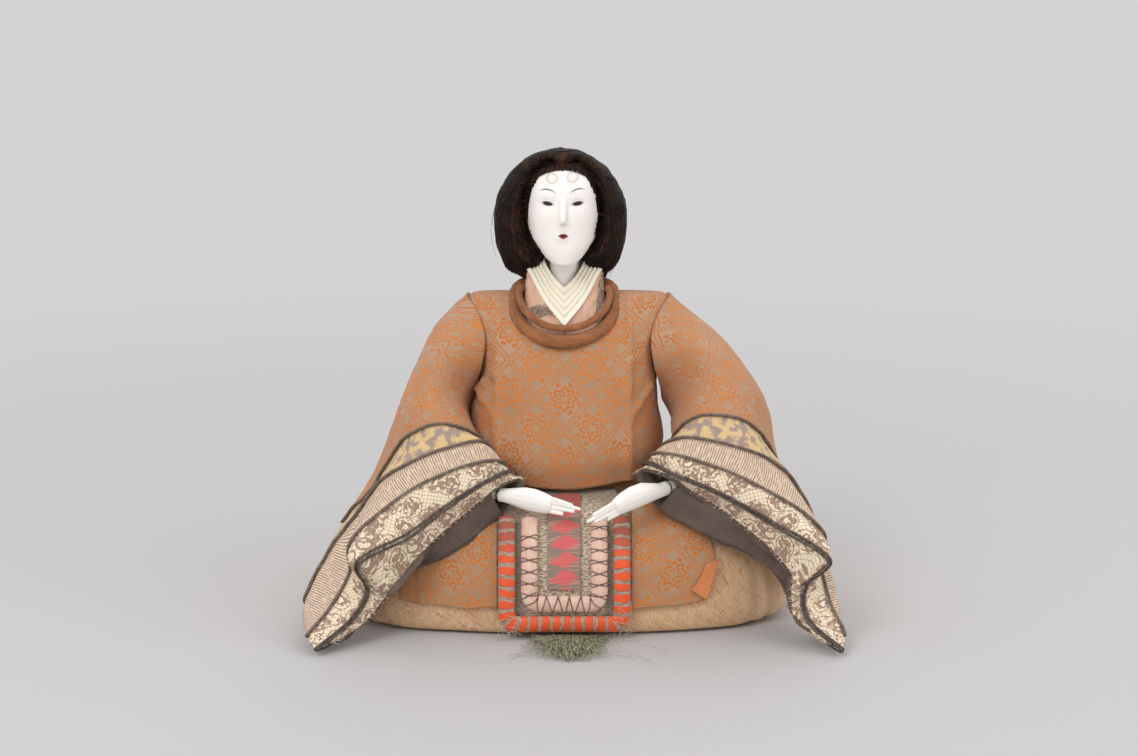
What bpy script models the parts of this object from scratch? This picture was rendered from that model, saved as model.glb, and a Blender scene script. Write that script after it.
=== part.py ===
"""A seated festival doll of a court lady, built as separate pieces. Metres, +Z up; the doll faces -Y."""

import math

import bmesh
import bpy
import numpy as np
from mathutils import Matrix, Vector

# Cloth and fits
CLOTH = 0.0008
GAP = 0.0003
SLEEVE_CLOTH = 0.0005
LAYER = SLEEVE_CLOTH + GAP
COLLAR_STEP = 0.0009
COLLAR_PAPER = 0.0006

# Base board and straw core
BOARD_WIDTH = 0.120
BOARD_DEPTH = 0.080
BOARD_HEIGHT = 0.006
BOARD_CORNER = 0.010
CORE_RADIUS = 0.017
CORE_TOP = 0.136
CORE_BORE_FLOOR = 0.103
STRAW_SHARE = 0.03
BINDING_SHARES = {"core_binding_lower": 0.16, "core_binding_middle": 0.56, "core_binding_upper": 0.84}
BINDING_HEIGHT = 0.006
BINDING_DEPTH = 0.0012

# Neck peg, arm wire and hand pegs
NECK_PEG_RADIUS = 0.0028
NECK_PEG_REACH = 0.029
WIRE_RADIUS = 0.001
WIRE_HEIGHT = 0.131
WIRE_SETBACK = 0.007
ARM_RADIUS = 0.0048
HAND_PEG_RADIUS = 0.0014
WRIST_SOCKET = 0.0105
FOREARM_STRAIGHT = 0.020
HAND_LENGTH = 0.0443

# Torso
SHOULDER_HEIGHT = 0.143
TORSO_HALF_WIDTH = 0.0435
TORSO_FRONT = 0.044
TORSO_BACK = 0.030
TORSO_LEFT_SHARE = 1.08
TORSO_CORNER = 3.0
HEM_RISE = 0.008
WADDING_FLOOR = 0.062
WADDING_FLOOR_SHARE = 0.76
WADDING_BORE = 0.0180
ARMHOLE_RADIUS = 0.0042
WIRE_WAY_RADIUS = 0.0035

# Neckline and collar
ROLL_RADIUS = 0.003
NECK_ROOM_SHARE = 1.25
INNER_ROLL_RADIUS = 0.0016
COLLAR_REACH = 0.030

# Head and hair
HEAD_TALL = 0.0685
HEAD_HALF_WIDTH = 0.0168
HEAD_FRONT = 0.0225
HEAD_BACK = 0.0195
HEAD_SHIFT = -0.0008
NOSE_DEPTH = 0.0030
NOSE_WIDTH = 0.0022
EYE_HOLLOW = 0.0011
LIP_DEPTH = 0.0011
HAIR_HALF_WIDTH = 0.0305
HAIR_FRONT = 0.018
HAIR_BACK = 0.027
HAIR_SHIFT = -0.0018
HAIR_FIT = 0.0004
TAIL_HALF_WIDTH = 0.023
TAIL_SETBACK = 0.0685
TAIL_DEPTH = 0.0073
TAIL_TOP_SHARE = 0.27
TIE_HEIGHT = 0.005
TIE_DEPTH = 0.0011
TAIL_TOP = CORE_TOP + HEAD_TALL * TAIL_TOP_SHARE

# Sleeves
SLEEVE_REACH = 0.120
SLEEVE_DEPTH = 0.100
SLEEVE_RISE = 0.143
TUCK = 0.003

# Lap
LAP_HALF_WIDTH = 0.104
LAP_FRONT = 0.066
LAP_BACK = 0.059
LAP_HEIGHT = 0.060
LAP_CORNER = 3.4
LAP_HOLE = 0.0195
STUFFING_BORE = 0.019

# Front panel
FLAP_LIFT = 0.0009
PANEL_HALF_WIDTH = 0.0292
PANEL_TOP = 0.0485
PANEL_HEM = 0.0550
PANEL_HEM_SHARE = 0.78
PANEL_FOOT = 0.0040
BACKING_LIFT = 0.0009
ROLL_LIFT = 0.0023
RED_ROLL_WIDTH = 0.0076
RED_ROLL_DEPTH = 0.0046
PINK_ROLL_WIDTH = 0.0074
PINK_ROLL_DEPTH = 0.0040
BAND_HALF_WIDTH = 0.0072
BAND_TOP = 0.0560
TUFT_FRONT = 0.104
TUFT_BACK = 0.0704
TUFT_HALF_WIDTH = 0.017
TUFT_HEIGHT = 0.0042
TUFT_SHIFT = 0.0045

# Train
TRAIN_HALF_WIDTH = 0.107
TRAIN_BACK = 0.071
TRAIN_TOP = 0.126

# Hands
PALM_HALF_WIDTH = 0.0054
FINGER_RADIUS = 0.0014

# Torso rings: height, half-width, front and back, as shares of the torso's sizes
TORSO_SHARES = (
    (0.427, 0.94, 0.93, 1.00),
    (0.524, 0.965, 1.00, 0.95),
    (0.664, 0.92, 0.91, 0.85),
    (0.804, 0.92, 0.77, 0.74),
    (0.895, 0.955, 0.61, 0.63),
    (0.951, 0.985, 0.42, 0.53),
    (0.982, 1.0, 0.28, 0.43),
    (0.998, 0.97, 0.15, 0.30),
)

# Robe fronts and turned corner on the lap: rows of two ends, as shares of the lap's half-width and height
RIGHT_FLAP_SHARES = (
    ((-0.70, 0.72), (-0.31, 0.69)),
    ((-0.70, 0.50), (-0.31, 0.50)),
    ((-0.70, 0.25), (-0.33, 0.22)),
)
LEFT_FLAP_SHARES = (((0.31, 0.84), (0.58, 0.84)), ((0.31, 0.50), (0.64, 0.54)), ((0.31, 0.21), (0.60, 0.27)))
TURNED_SHARES = (((0.60, 0.52), (0.645, 0.53)), ((0.565, 0.42), (0.64, 0.47)), ((0.535, 0.36), (0.60, 0.28)))

# Tuft rings: place from back to front, width and height, as shares
TUFT_SHARES = ((0, 0.62, 0.5), (0.15, 0.85, 0.9), (0.5, 1.0, 1.0), (0.85, 1.0, 0.6), (1, 0.94, 0.22))

# Lap rings: reach and height, as shares
LAP_SHARES = (
    (0.90, 0.004),
    (0.97, 0.03),
    (1.0, 0.15),
    (0.99, 0.35),
    (0.95, 0.55),
    (0.86, 0.75),
    (0.72, 0.88),
    (0.56, 0.96),
    (0.40, 1.0),
)

# Head rings: height at the neck axis, slope forward, half-width, front and back, as shares
HEAD_SHARES = (
    (0.685, 0.0, 0.41, 0.30, 0.35),
    (0.735, 0.0, 0.40, 0.30, 0.35),
    (0.775, 0.0, 0.40, 0.31, 0.35),
    (0.794, 0.12, 0.44, 0.42, 0.37),
    (0.797, 0.24, 0.60, 0.80, 0.52),
    (0.803, 0.24, 0.70, 0.93, 0.66),
    (0.812, 0.19, 0.79, 0.965, 0.76),
    (0.828, 0.12, 0.87, 0.985, 0.86),
    (0.845, 0.05, 0.93, 0.98, 0.93),
    (0.862, 0.02, 0.97, 0.985, 0.97),
    (0.880, 0.0, 1.01, 0.985, 0.99),
    (0.898, 0.0, 1.01, 0.975, 1.0),
    (0.915, 0.0, 1.0, 0.97, 1.0),
    (0.933, 0.0, 0.97, 0.955, 0.98),
    (0.952, 0.0, 0.90, 0.91, 0.93),
    (0.970, 0.0, 0.77, 0.80, 0.82),
    (0.985, 0.0, 0.56, 0.60, 0.62),
    (0.996, 0.0, 0.28, 0.30, 0.32),
)

# Face: heights of nose, eyes and lips as shares of the head's height, and the eyes' places across
NOSE_SHARES = ((0.862, 0.35), (0.880, 0.8), (0.895, 0.55), (0.915, 0.25))
EYE_SHARE = 0.913
EYE_SPREAD_SHARE = 0.43
LIP_SHARE = 0.845
FEATURE_SHARE = 0.012
HEAD_FOOT_SHARE = 0.665
JAW_SHARES = (0.7875, 0.85)
CHEEK_SHARES = (0.80, 0.90)

# Hair rings: height, half-width, front and back, as shares
HAIR_SHARES = (
    (0.7324, 0.76, 0.12, 0.8),
    (0.7599, 0.82, 0.32, 0.88),
    (0.7956, 0.93, 0.52, 0.95),
    (0.8364, 1.03, 0.72, 1.0),
    (0.8772, 1.05, 0.88, 1.0),
    (0.9099, 1.01, 0.98, 0.98),
    (0.9405, 0.91, 1.04, 0.95),
    (0.9690, 0.75, 1.03, 0.88),
    (0.9925, 0.56, 0.9, 0.74),
    (1.0098, 0.34, 0.6, 0.5),
    (1.0190, 0.14, 0.28, 0.24),
)

# Face opening in the hair, as shares of the head's half-width and height, for half of the face
HAIRLINE_SHARES = (
    (1.18, 0.70),
    (1.18, 0.776),
    (1.05, 0.802),
    (1.02, 0.86),
    (1.0, 0.905),
    (0.86, 0.940),
    (0.55, 0.968),
    (0.25, 0.982),
    (0.0, 0.978),
)

# Floor and ceiling of the room for the neck inside the hair, as shares of the hair's height
NECK_SPACE_SHARES = (0.714, 0.7875)

# Hair down the back: height, half-width, setback and thickness, as shares
TAIL_SHARES = (
    (1.0, 1.0, 0.251, 1.0),
    (0.958, 0.87, 0.300, 0.89),
    (0.893, 0.74, 0.350, 0.75),
    (0.816, 0.70, 0.386, 0.68),
    (0.712, 0.63, 0.428, 0.66),
    (0.615, 0.59, 0.470, 0.63),
    (0.505, 0.56, 0.550, 0.62),
    (0.401, 0.54, 0.695, 0.60),
    (0.324, 0.52, 0.845, 0.57),
    (0.259, 0.48, 0.925, 0.54),
    (0.181, 0.39, 0.980, 0.41),
    (0.142, 0.26, 1.0, 0.27),
)
TIE_SHARE = 0.615

# Train: height, half-width, back and spread round the doll, as shares
TRAIN_SHARES = (
    (1.0, 0.397, 0.280, 0.66),
    (0.873, 0.393, 0.350, 0.72),
    (0.754, 0.393, 0.391, 0.76),
    (0.620, 0.411, 0.441, 0.84),
    (0.525, 0.440, 0.500, 0.90),
    (0.480, 0.590, 0.600, 0.93),
    (0.410, 0.775, 0.730, 0.94),
    (0.318, 0.905, 0.830, 0.95),
    (0.198, 0.968, 0.890, 0.95),
    (0.080, 0.993, 0.935, 0.95),
    (0.012, 1.0, 1.0, 0.95),
)

# Neckline roll, from the back round one side to the front: across, along and up, as shares
ROLL_SHARES = (
    (0.0, 0.325, 1.026),
    (0.280, 0.220, 1.024),
    (0.478, 0.030, 1.014),
    (0.520, -0.240, 0.975),
    (0.462, -0.465, 0.933),
    (0.275, -0.635, 0.899),
    (0.0, -0.710, 0.885),
)
INNER_ROLL_SHARES = (
    (0.455, -0.16, 1.026),
    (0.470, -0.27, 1.003),
    (0.402, -0.49, 0.970),
    (0.230, -0.62, 0.937),
    (0.0, -0.665, 0.925),
)

# Collar edges, from the back round one side to the front, as shares of the collar's reach and the shoulders
COLLAR_OUTER_SHARES = (
    (0.0, 0.417, 1.066),
    (0.22, 0.395, 1.068),
    (0.43, 0.31, 1.078),
    (0.60, 0.03, 1.087),
    (0.52, -0.23, 1.068),
    (0.30, -0.60, 1.000),
    (0.0, -0.917, 0.934),
)
COLLAR_NECK_SHARES = (
    (0.0, 0.317, 1.101),
    (0.14, 0.295, 1.105),
    (0.25, 0.21, 1.108),
    (0.31, 0.0, 1.108),
    (0.262, -0.19, 1.090),
    (0.145, -0.295, 1.058),
    (0.0, -0.345, 1.030),
)
COLLAR_LAYERS = 5
YOKE_INNER_SHARE = 0.05

# Arm paths from shoulder to wrist and the wrists, as shares of the sleeves' sizes;
# and the hands' reach from wrist to fingertips, as shares of their length
RIGHT_ARM_SHARES = (
    (-0.388, 0.035, 0.902),
    (-0.438, -0.02, 0.825),
    (-0.490, -0.13, 0.720),
    (-0.500, -0.26, 0.615),
    (-0.455, -0.37, 0.528),
)
RIGHT_WRIST_SHARES = (-0.242, -0.53, 0.434)
RIGHT_REACH_SHARES = (0.8181, -0.2935, -0.0742)
LEFT_ARM_SHARES = (
    (0.418, 0.035, 0.902),
    (0.480, -0.01, 0.839),
    (0.560, -0.12, 0.741),
    (0.617, -0.24, 0.650),
    (0.592, -0.345, 0.553),
)
LEFT_WRIST_SHARES = (0.383, -0.53, 0.456)
LEFT_REACH_SHARES = (-0.8153, -0.5418, -0.2066)

# Hand sections: place along the hand, half-height, half-thickness and rise, as shares of length and palm
RIGHT_PALM_SHARES = (
    (0.0, 0.60, 0.58, 0.0),
    (0.12, 0.64, 0.60, 0.0),
    (0.28, 0.94, 0.62, 0.05),
    (0.45, 0.98, 0.56, 0.02),
    (0.58, 0.84, 0.48, -0.08),
    (0.64, 0.70, 0.40, -0.10),
)
LEFT_PALM_SHARES = (
    (0.0, 0.60, 0.58, 0.0),
    (0.12, 0.64, 0.60, 0.06),
    (0.28, 0.96, 0.62, 0.34),
    (0.45, 1.0, 0.56, 0.38),
    (0.58, 0.84, 0.48, 0.26),
    (0.64, 0.70, 0.40, 0.16),
)

# Fingers: root rise, middle rise, tip place and tip rise, as shares of palm and length
RIGHT_FINGER_SHARES = (
    (0.52, 0.36, 0.90, 0.20),
    (0.16, 0.10, 1.0, 0.0),
    (-0.24, -0.28, 0.93, -0.30),
    (-0.62, -0.66, 0.80, -0.70),
)
LEFT_FINGER_SHARES = (
    (0.78, 0.52, 0.92, 0.36),
    (0.42, 0.22, 1.0, 0.0),
    (0.04, -0.14, 0.92, -0.26),
    (-0.32, -0.46, 0.76, -0.56),
)
FINGER_ROOT_SHARE = 0.52
FINGER_MIDDLE_SHARE = 0.74

# Sleeve rings from the armhole to the lining, as shares of reach, depth and rise
RIGHT_SLEEVE_SHARES = {
    "armhole": (
        (-0.342, -0.080, 0.664), (-0.333, -0.160, 0.720), (-0.308, -0.240, 0.797),
        (-0.296, -0.220, 0.881), (-0.325, -0.130, 0.951), (-0.371, -0.020, 0.995),
        (-0.350, 0.080, 0.979), (-0.304, 0.145, 0.916), (-0.287, 0.170, 0.846),
        (-0.304, 0.160, 0.783), (-0.329, 0.120, 0.720), (-0.342, 0.050, 0.678),
        (-0.343, -0.015, 0.661),
    ),
    "upper arm": (
        (-0.358, -0.140, 0.622), (-0.383, -0.270, 0.706), (-0.417, -0.330, 0.790),
        (-0.450, -0.310, 0.846), (-0.487, -0.200, 0.874), (-0.512, -0.060, 0.871),
        (-0.525, 0.040, 0.825), (-0.517, 0.110, 0.755), (-0.483, 0.150, 0.685),
        (-0.450, 0.140, 0.629), (-0.417, 0.080, 0.601), (-0.383, 0.000, 0.594),
        (-0.367, -0.080, 0.601),
    ),
    "elbow": (
        (-0.338, -0.290, 0.608), (-0.383, -0.400, 0.685), (-0.474, -0.460, 0.736),
        (-0.550, -0.410, 0.731), (-0.603, -0.320, 0.699), (-0.652, -0.200, 0.598),
        (-0.679, -0.110, 0.517), (-0.691, -0.040, 0.455), (-0.650, 0.030, 0.486),
        (-0.583, 0.090, 0.538), (-0.500, 0.080, 0.566), (-0.417, -0.040, 0.573),
        (-0.362, -0.180, 0.580),
    ),
    "sleeve edge": (
        (-0.296, -0.395, 0.570), (-0.358, -0.510, 0.636), (-0.463, -0.560, 0.664),
        (-0.567, -0.520, 0.626), (-0.639, -0.400, 0.545), (-0.726, -0.300, 0.410),
        (-0.800, -0.240, 0.336), (-0.850, -0.180, 0.274), (-0.821, -0.080, 0.280),
        (-0.700, -0.030, 0.371), (-0.575, -0.090, 0.448), (-0.450, -0.200, 0.483),
        (-0.358, -0.300, 0.524),
    ),
    "gold edge": (
        (-0.262, -0.450, 0.534), (-0.300, -0.540, 0.606), (-0.408, -0.600, 0.601),
        (-0.550, -0.625, 0.563), (-0.667, -0.580, 0.493), (-0.788, -0.520, 0.355),
        (-0.883, -0.560, 0.245), (-0.965, -0.620, 0.110), (-0.908, -0.520, 0.098),
        (-0.808, -0.490, 0.238), (-0.650, -0.480, 0.329), (-0.483, -0.420, 0.402),
        (-0.342, -0.370, 0.448),
    ),
    "ribbed edge": (
        (-0.216, -0.470, 0.503), (-0.258, -0.580, 0.553), (-0.392, -0.660, 0.541),
        (-0.583, -0.720, 0.472), (-0.775, -0.780, 0.338), (-0.787, -0.740, 0.227),
        (-0.850, -0.790, 0.133), (-0.940, -0.860, 0.049), (-0.871, -0.730, 0.059),
        (-0.775, -0.630, 0.210), (-0.625, -0.585, 0.273), (-0.442, -0.530, 0.336),
        (-0.275, -0.430, 0.406),
    ),
    "cream edge": (
        (-0.182, -0.480, 0.492), (-0.273, -0.620, 0.494), (-0.399, -0.700, 0.439),
        (-0.561, -0.770, 0.345), (-0.740, -0.840, 0.274), (-0.714, -0.770, 0.169),
        (-0.774, -0.830, 0.087), (-0.895, -0.940, 0.023), (-0.808, -0.790, 0.045),
        (-0.725, -0.655, 0.182), (-0.592, -0.625, 0.224), (-0.412, -0.605, 0.287),
        (-0.237, -0.485, 0.375),
    ),
    "inner cream edge": (
        (-0.154, -0.490, 0.481), (-0.225, -0.585, 0.477), (-0.333, -0.640, 0.409),
        (-0.467, -0.710, 0.325), (-0.617, -0.760, 0.189), (-0.658, -0.745, 0.140),
        (-0.733, -0.800, 0.073), (-0.858, -0.910, 0.021), (-0.779, -0.765, 0.045),
        (-0.683, -0.645, 0.164), (-0.567, -0.625, 0.217), (-0.392, -0.603, 0.284),
        (-0.225, -0.495, 0.373),
    ),
    "lining edge": (
        (-0.142, -0.490, 0.472), (-0.212, -0.575, 0.467), (-0.321, -0.630, 0.406),
        (-0.454, -0.700, 0.318), (-0.604, -0.750, 0.185), (-0.646, -0.738, 0.136),
        (-0.721, -0.790, 0.073), (-0.829, -0.880, 0.028), (-0.767, -0.755, 0.048),
        (-0.671, -0.640, 0.161), (-0.550, -0.628, 0.213), (-0.378, -0.605, 0.283),
        (-0.213, -0.508, 0.372),
    ),
}
LEFT_SLEEVE_SHARES = {
    "armhole": (
        (0.371, -0.080, 0.664), (0.362, -0.160, 0.720), (0.338, -0.240, 0.797),
        (0.325, -0.220, 0.881), (0.354, -0.130, 0.951), (0.400, -0.020, 0.995),
        (0.379, 0.080, 0.979), (0.333, 0.145, 0.916), (0.317, 0.170, 0.846),
        (0.333, 0.160, 0.783), (0.358, 0.120, 0.720), (0.371, 0.050, 0.678),
        (0.372, -0.015, 0.661),
    ),
    "upper arm": (
        (0.400, -0.140, 0.629), (0.425, -0.270, 0.713), (0.475, -0.340, 0.804),
        (0.525, -0.320, 0.857), (0.575, -0.200, 0.871), (0.600, -0.040, 0.857),
        (0.600, 0.060, 0.797), (0.583, 0.130, 0.727), (0.542, 0.160, 0.664),
        (0.492, 0.140, 0.622), (0.450, 0.080, 0.601), (0.417, 0.000, 0.601),
        (0.404, -0.080, 0.612),
    ),
    "elbow": (
        (0.404, -0.240, 0.605), (0.458, -0.390, 0.706), (0.550, -0.460, 0.762),
        (0.635, -0.420, 0.769), (0.700, -0.330, 0.750), (0.750, -0.180, 0.692),
        (0.771, -0.080, 0.629), (0.775, 0.020, 0.545), (0.708, 0.080, 0.517),
        (0.625, 0.090, 0.538), (0.542, 0.050, 0.559), (0.467, -0.040, 0.570),
        (0.417, -0.140, 0.580),
    ),
    "sleeve edge": (
        (0.402, -0.370, 0.587), (0.442, -0.480, 0.650), (0.517, -0.545, 0.690),
        (0.633, -0.555, 0.682), (0.729, -0.480, 0.622), (0.791, -0.320, 0.517),
        (0.833, -0.220, 0.399), (0.875, -0.140, 0.287), (0.842, -0.050, 0.294),
        (0.725, -0.020, 0.378), (0.608, -0.070, 0.455), (0.508, -0.170, 0.510),
        (0.433, -0.280, 0.549),
    ),
    "gold edge": (
        (0.362, -0.450, 0.569), (0.411, -0.540, 0.616), (0.508, -0.605, 0.626),
        (0.650, -0.640, 0.601), (0.775, -0.590, 0.549), (0.858, -0.520, 0.469),
        (0.931, -0.540, 0.349), (1.000, -0.620, 0.119), (0.950, -0.540, 0.105),
        (0.883, -0.510, 0.266), (0.733, -0.480, 0.364), (0.575, -0.400, 0.420),
        (0.433, -0.350, 0.465),
    ),
    "ribbed edge": (
        (0.324, -0.470, 0.544), (0.371, -0.580, 0.575), (0.500, -0.655, 0.562),
        (0.700, -0.730, 0.503), (0.941, -0.740, 0.367), (0.942, -0.700, 0.252),
        (0.971, -0.760, 0.140), (1.022, -0.840, 0.049), (0.963, -0.715, 0.063),
        (0.900, -0.610, 0.238), (0.733, -0.575, 0.322), (0.558, -0.515, 0.371),
        (0.392, -0.425, 0.430),
    ),
    "cream edge": (
        (0.300, -0.480, 0.520), (0.406, -0.620, 0.512), (0.550, -0.700, 0.471),
        (0.750, -0.780, 0.388), (0.954, -0.860, 0.287), (0.872, -0.790, 0.189),
        (0.883, -0.830, 0.091), (1.002, -0.940, 0.022), (0.921, -0.775, 0.048),
        (0.842, -0.665, 0.192), (0.700, -0.625, 0.276), (0.537, -0.585, 0.327),
        (0.358, -0.485, 0.404),
    ),
    "inner cream edge": (
        (0.275, -0.490, 0.508), (0.383, -0.585, 0.501), (0.500, -0.635, 0.444),
        (0.667, -0.710, 0.353), (0.819, -0.780, 0.239), (0.828, -0.785, 0.164),
        (0.846, -0.810, 0.077), (0.967, -0.910, 0.021), (0.894, -0.760, 0.048),
        (0.812, -0.665, 0.185), (0.683, -0.625, 0.271), (0.521, -0.590, 0.322),
        (0.342, -0.503, 0.399),
    ),
    "lining edge": (
        (0.263, -0.490, 0.498), (0.369, -0.575, 0.491), (0.483, -0.625, 0.434),
        (0.650, -0.700, 0.346), (0.798, -0.766, 0.234), (0.804, -0.772, 0.166),
        (0.823, -0.786, 0.094), (0.908, -0.850, 0.045), (0.858, -0.735, 0.066),
        (0.787, -0.665, 0.185), (0.671, -0.628, 0.267), (0.504, -0.594, 0.320),
        (0.327, -0.515, 0.396),
    ),
}

RING_SAMPLES = 2
STEP_SHARE = 0.25
HIDDEN_SHARE = 1.05
CUFFS = (
    ("cuff_gold", "gold edge", (0.70, 0.56, 0.30), 0.55),
    ("cuff_ribbed", "ribbed edge", (0.60, 0.48, 0.36), 0.85),
    ("cuff_cream", "cream edge", (0.78, 0.72, 0.58), 0.75),
    ("cuff_inner_cream", "inner cream edge", (0.76, 0.70, 0.56), 0.75),
    ("sleeve_lining", "lining edge", (0.22, 0.18, 0.18), 0.8),
)
DRAWN_SHARES = {"cuff_inner_cream": 0.22, "sleeve_lining": 0.50}
TIP_COLUMN = 7 * RING_SAMPLES
BROCADE = (0.32, 0.17, 0.10)


def blended(controls, at, closed=False):
    """Catmull-Rom through the rows of controls, read at the given places."""
    controls = np.asarray(controls, float)
    count = len(controls)
    at = np.asarray(at, float)
    base = np.floor(at).astype(int)
    if not closed:
        base = np.clip(base, 0, count - 2)
        first = 2 * controls[:1] - controls[1:2]
        last = 2 * controls[-1:] - controls[-2:-1]
        controls = np.concatenate([first, controls, last])
    part = (at - base).reshape((-1,) + (1,) * (controls.ndim - 1))
    picks = []
    for step in (-1, 0, 1, 2):
        index = (base + step) % count if closed else base + step + 1
        picks.append(controls[index])
    a, b, c, d = picks
    bend = 2 * a - 5 * b + 4 * c - d
    return (2 * b + (c - a) * part + bend * part**2 + (3 * (b - c) + d - a) * part**3) / 2


def unit(vectors):
    vectors = np.asarray(vectors, float)
    return vectors / np.linalg.norm(vectors, axis=-1, keepdims=True)


def material(name, colour, roughness, metallic=0.0):
    made = bpy.data.materials.new(name)
    made.use_nodes = True
    shader = made.node_tree.nodes["Principled BSDF"]
    shader.inputs["Base Color"].default_value = (*colour, 1)
    shader.inputs["Roughness"].default_value = roughness
    shader.inputs["Metallic"].default_value = metallic
    made.diffuse_color = (*colour, 1)
    return made


def solid(name, points, faces, paint):
    """A mesh object whose faces point outwards, with its material."""
    mesh = bpy.data.meshes.new(name)
    mesh.from_pydata([tuple(p) for p in points], [], faces)
    shape = bmesh.new()
    shape.from_mesh(mesh)
    bmesh.ops.recalc_face_normals(shape, faces=shape.faces)
    if shape.calc_volume(signed=True) < 0:
        bmesh.ops.reverse_faces(shape, faces=shape.faces)
    shape.to_mesh(mesh)
    shape.free()
    made = bpy.data.objects.new(name, mesh)
    bpy.context.scene.collection.objects.link(made)
    if paint:
        mesh.materials.append(material(name, *paint))
    return made


def grid_faces(rows, columns, start=0, closed=True, flipped=False):
    faces = []
    for row in range(rows - 1):
        for column in range(columns if closed else columns - 1):
            after = (column + 1) % columns
            a = start + row * columns + column
            b = start + (row + 1) * columns + column
            c = start + (row + 1) * columns + after
            d = start + row * columns + after
            for face in ((a, b, c), (a, c, d)):
                faces.append(face[::-1] if flipped else face)
    return faces


def capped(name, rings, paint):
    """A solid lofted through closed rings, each end closed on its own middle."""
    rings = np.asarray(rings)
    rows, columns = rings.shape[:2]
    ends = [rings[0].mean(axis=0), rings[-1].mean(axis=0)]
    points = np.concatenate([rings.reshape(-1, 3), ends])
    faces = grid_faces(rows, columns)
    low, high = rows * columns, rows * columns + 1
    for column in range(columns):
        after = (column + 1) % columns
        faces.append((column, after, low))
        faces.append(((rows - 1) * columns + after, (rows - 1) * columns + column, high))
    return solid(name, points, faces, paint)


def walled(name, outer, inner, paint, closed=True):
    """A cloth with two faces, joined along its edges."""
    outer, inner = np.asarray(outer), np.asarray(inner)
    rows, columns = outer.shape[:2]
    points = np.concatenate([outer.reshape(-1, 3), inner.reshape(-1, 3)])
    start = rows * columns
    faces = grid_faces(rows, columns, closed=closed) + grid_faces(rows, columns, start, closed, True)
    across = range(columns if closed else columns - 1)
    for column in across:
        after = (column + 1) % columns
        far = (rows - 1) * columns
        faces += [(column, after, start + after), (column, start + after, start + column)]
        faces += [
            (far + after, far + column, start + far + column),
            (far + after, start + far + column, start + far + after),
        ]
    if not closed:
        for row in range(rows - 1):
            near, nearer = row * columns, (row + 1) * columns
            far, farther = near + columns - 1, nearer + columns - 1
            faces += [(nearer, near, start + near), (nearer, start + near, start + nearer)]
            faces += [(far, farther, start + farther), (far, start + farther, start + far)]
    return solid(name, points, faces, paint)


def grid_normals(grid, closed=True, towards=None):
    """Unit normals of a grid, facing away from each row's middle or towards a direction."""
    looped = np.concatenate([grid, grid[:, :1]], axis=1) if closed else grid
    quads = unit(np.cross(looped[1:, 1:] - looped[:-1, :-1], looped[1:, :-1] - looped[:-1, 1:]))
    normals = np.zeros(looped.shape)
    for down in (slice(1, None), slice(None, -1)):
        for across in (slice(1, None), slice(None, -1)):
            normals[down, across] += quads
    if closed:
        normals[:, 0] += normals[:, -1]
        normals = normals[:, :-1]
    normals = unit(normals)
    aim = grid - grid.mean(axis=1, keepdims=True) if towards is None else np.asarray(towards, float)
    if (normals * aim).sum() < 0:
        normals = -normals
    return normals


def oval(half_width, front, back, corner, columns):
    """A closed outline round the axis, from +X through +Y, squarer as the corner grows."""
    angles = np.arange(columns) * 2 * math.pi / columns
    cosines, sines = np.cos(angles), np.sin(angles)
    x = half_width * np.sign(cosines) * np.abs(cosines) ** (2 / corner)
    y = np.sign(sines) * np.abs(sines) ** (2 / corner)
    return np.stack([x, np.where(y < 0, y * front, y * back), np.zeros(columns)], axis=1)


def tube_rings(path, radii, sides, across=(0, 0, 1), closed=False):
    """Rings round a path. Radii hold the reach along the across direction and at right angles to it."""
    path = np.asarray(path, float)
    radii = np.broadcast_to(np.asarray(radii, float).reshape(-1, 2), (len(path), 2))
    if closed:
        tangents = unit(np.roll(path, -1, axis=0) - np.roll(path, 1, axis=0))
    else:
        tangents = unit(np.gradient(path, axis=0))
    across = np.broadcast_to(np.asarray(across, float), path.shape)
    across = unit(across - (across * tangents).sum(axis=1, keepdims=True) * tangents)
    beside = np.cross(tangents, across)
    angles = np.arange(sides) * 2 * math.pi / sides
    wide = np.cos(angles)[None, :, None] * across[:, None] * radii[:, None, :1]
    deep = np.sin(angles)[None, :, None] * beside[:, None] * radii[:, None, 1:]
    return path[:, None] + wide + deep


def tube(name, path, radius, sides, paint, across=(0, 0, 1)):
    return capped(name, tube_rings(path, (radius, radius), sides, across), paint)


def looped_tube(name, path, radii, sides, paint, across=(0, 0, 1)):
    rings = tube_rings(path, radii, sides, across, closed=True)
    rows = len(rings)
    faces = grid_faces(rows + 1, sides)
    faces = [tuple(corner % (rows * sides) for corner in face) for face in faces]
    return solid(name, rings.reshape(-1, 3), faces, paint)


def extruded(name, outline, along, paint=None):
    """A prism on a closed outline, for cutting."""
    outline = np.asarray(outline, float)
    return capped(name, np.stack([outline, outline + np.asarray(along, float)]), paint)


def combined(target, other, operation):
    """The target with another solid cut away, added or kept in common. The other one is used up."""
    cut = target.modifiers.new(operation, "BOOLEAN")
    cut.operation = operation
    cut.solver = "EXACT"
    cut.object = other
    bpy.context.view_layer.update()
    graph = bpy.context.evaluated_depsgraph_get()
    shaped = bpy.data.meshes.new_from_object(target.evaluated_get(graph))
    target.modifiers.remove(cut)
    old = target.data
    target.data = shaped
    bpy.data.meshes.remove(old)
    bpy.data.objects.remove(other, do_unlink=True)
    shaped.name = target.name
    return target


def column(name, radius, low, high, sides=24, centre=(0, 0), paint=None):
    path = [(*centre, low), (*centre, high)]
    return tube(name, path, radius, sides, paint, across=(1, 0, 0))


def mirrored_loop(half):
    """A closed loop from the back round one side to the front and back along the other side."""
    half = np.asarray(half, float)
    return np.concatenate([half, (half * (-1, 1, 1))[-2:0:-1]])


def placed(shares, *sizes):
    return np.asarray(shares, float) * np.asarray(sizes, float)


def core_radius_at(height):
    return CORE_RADIUS * (1 - 0.18 * height / CORE_TOP)


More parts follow.
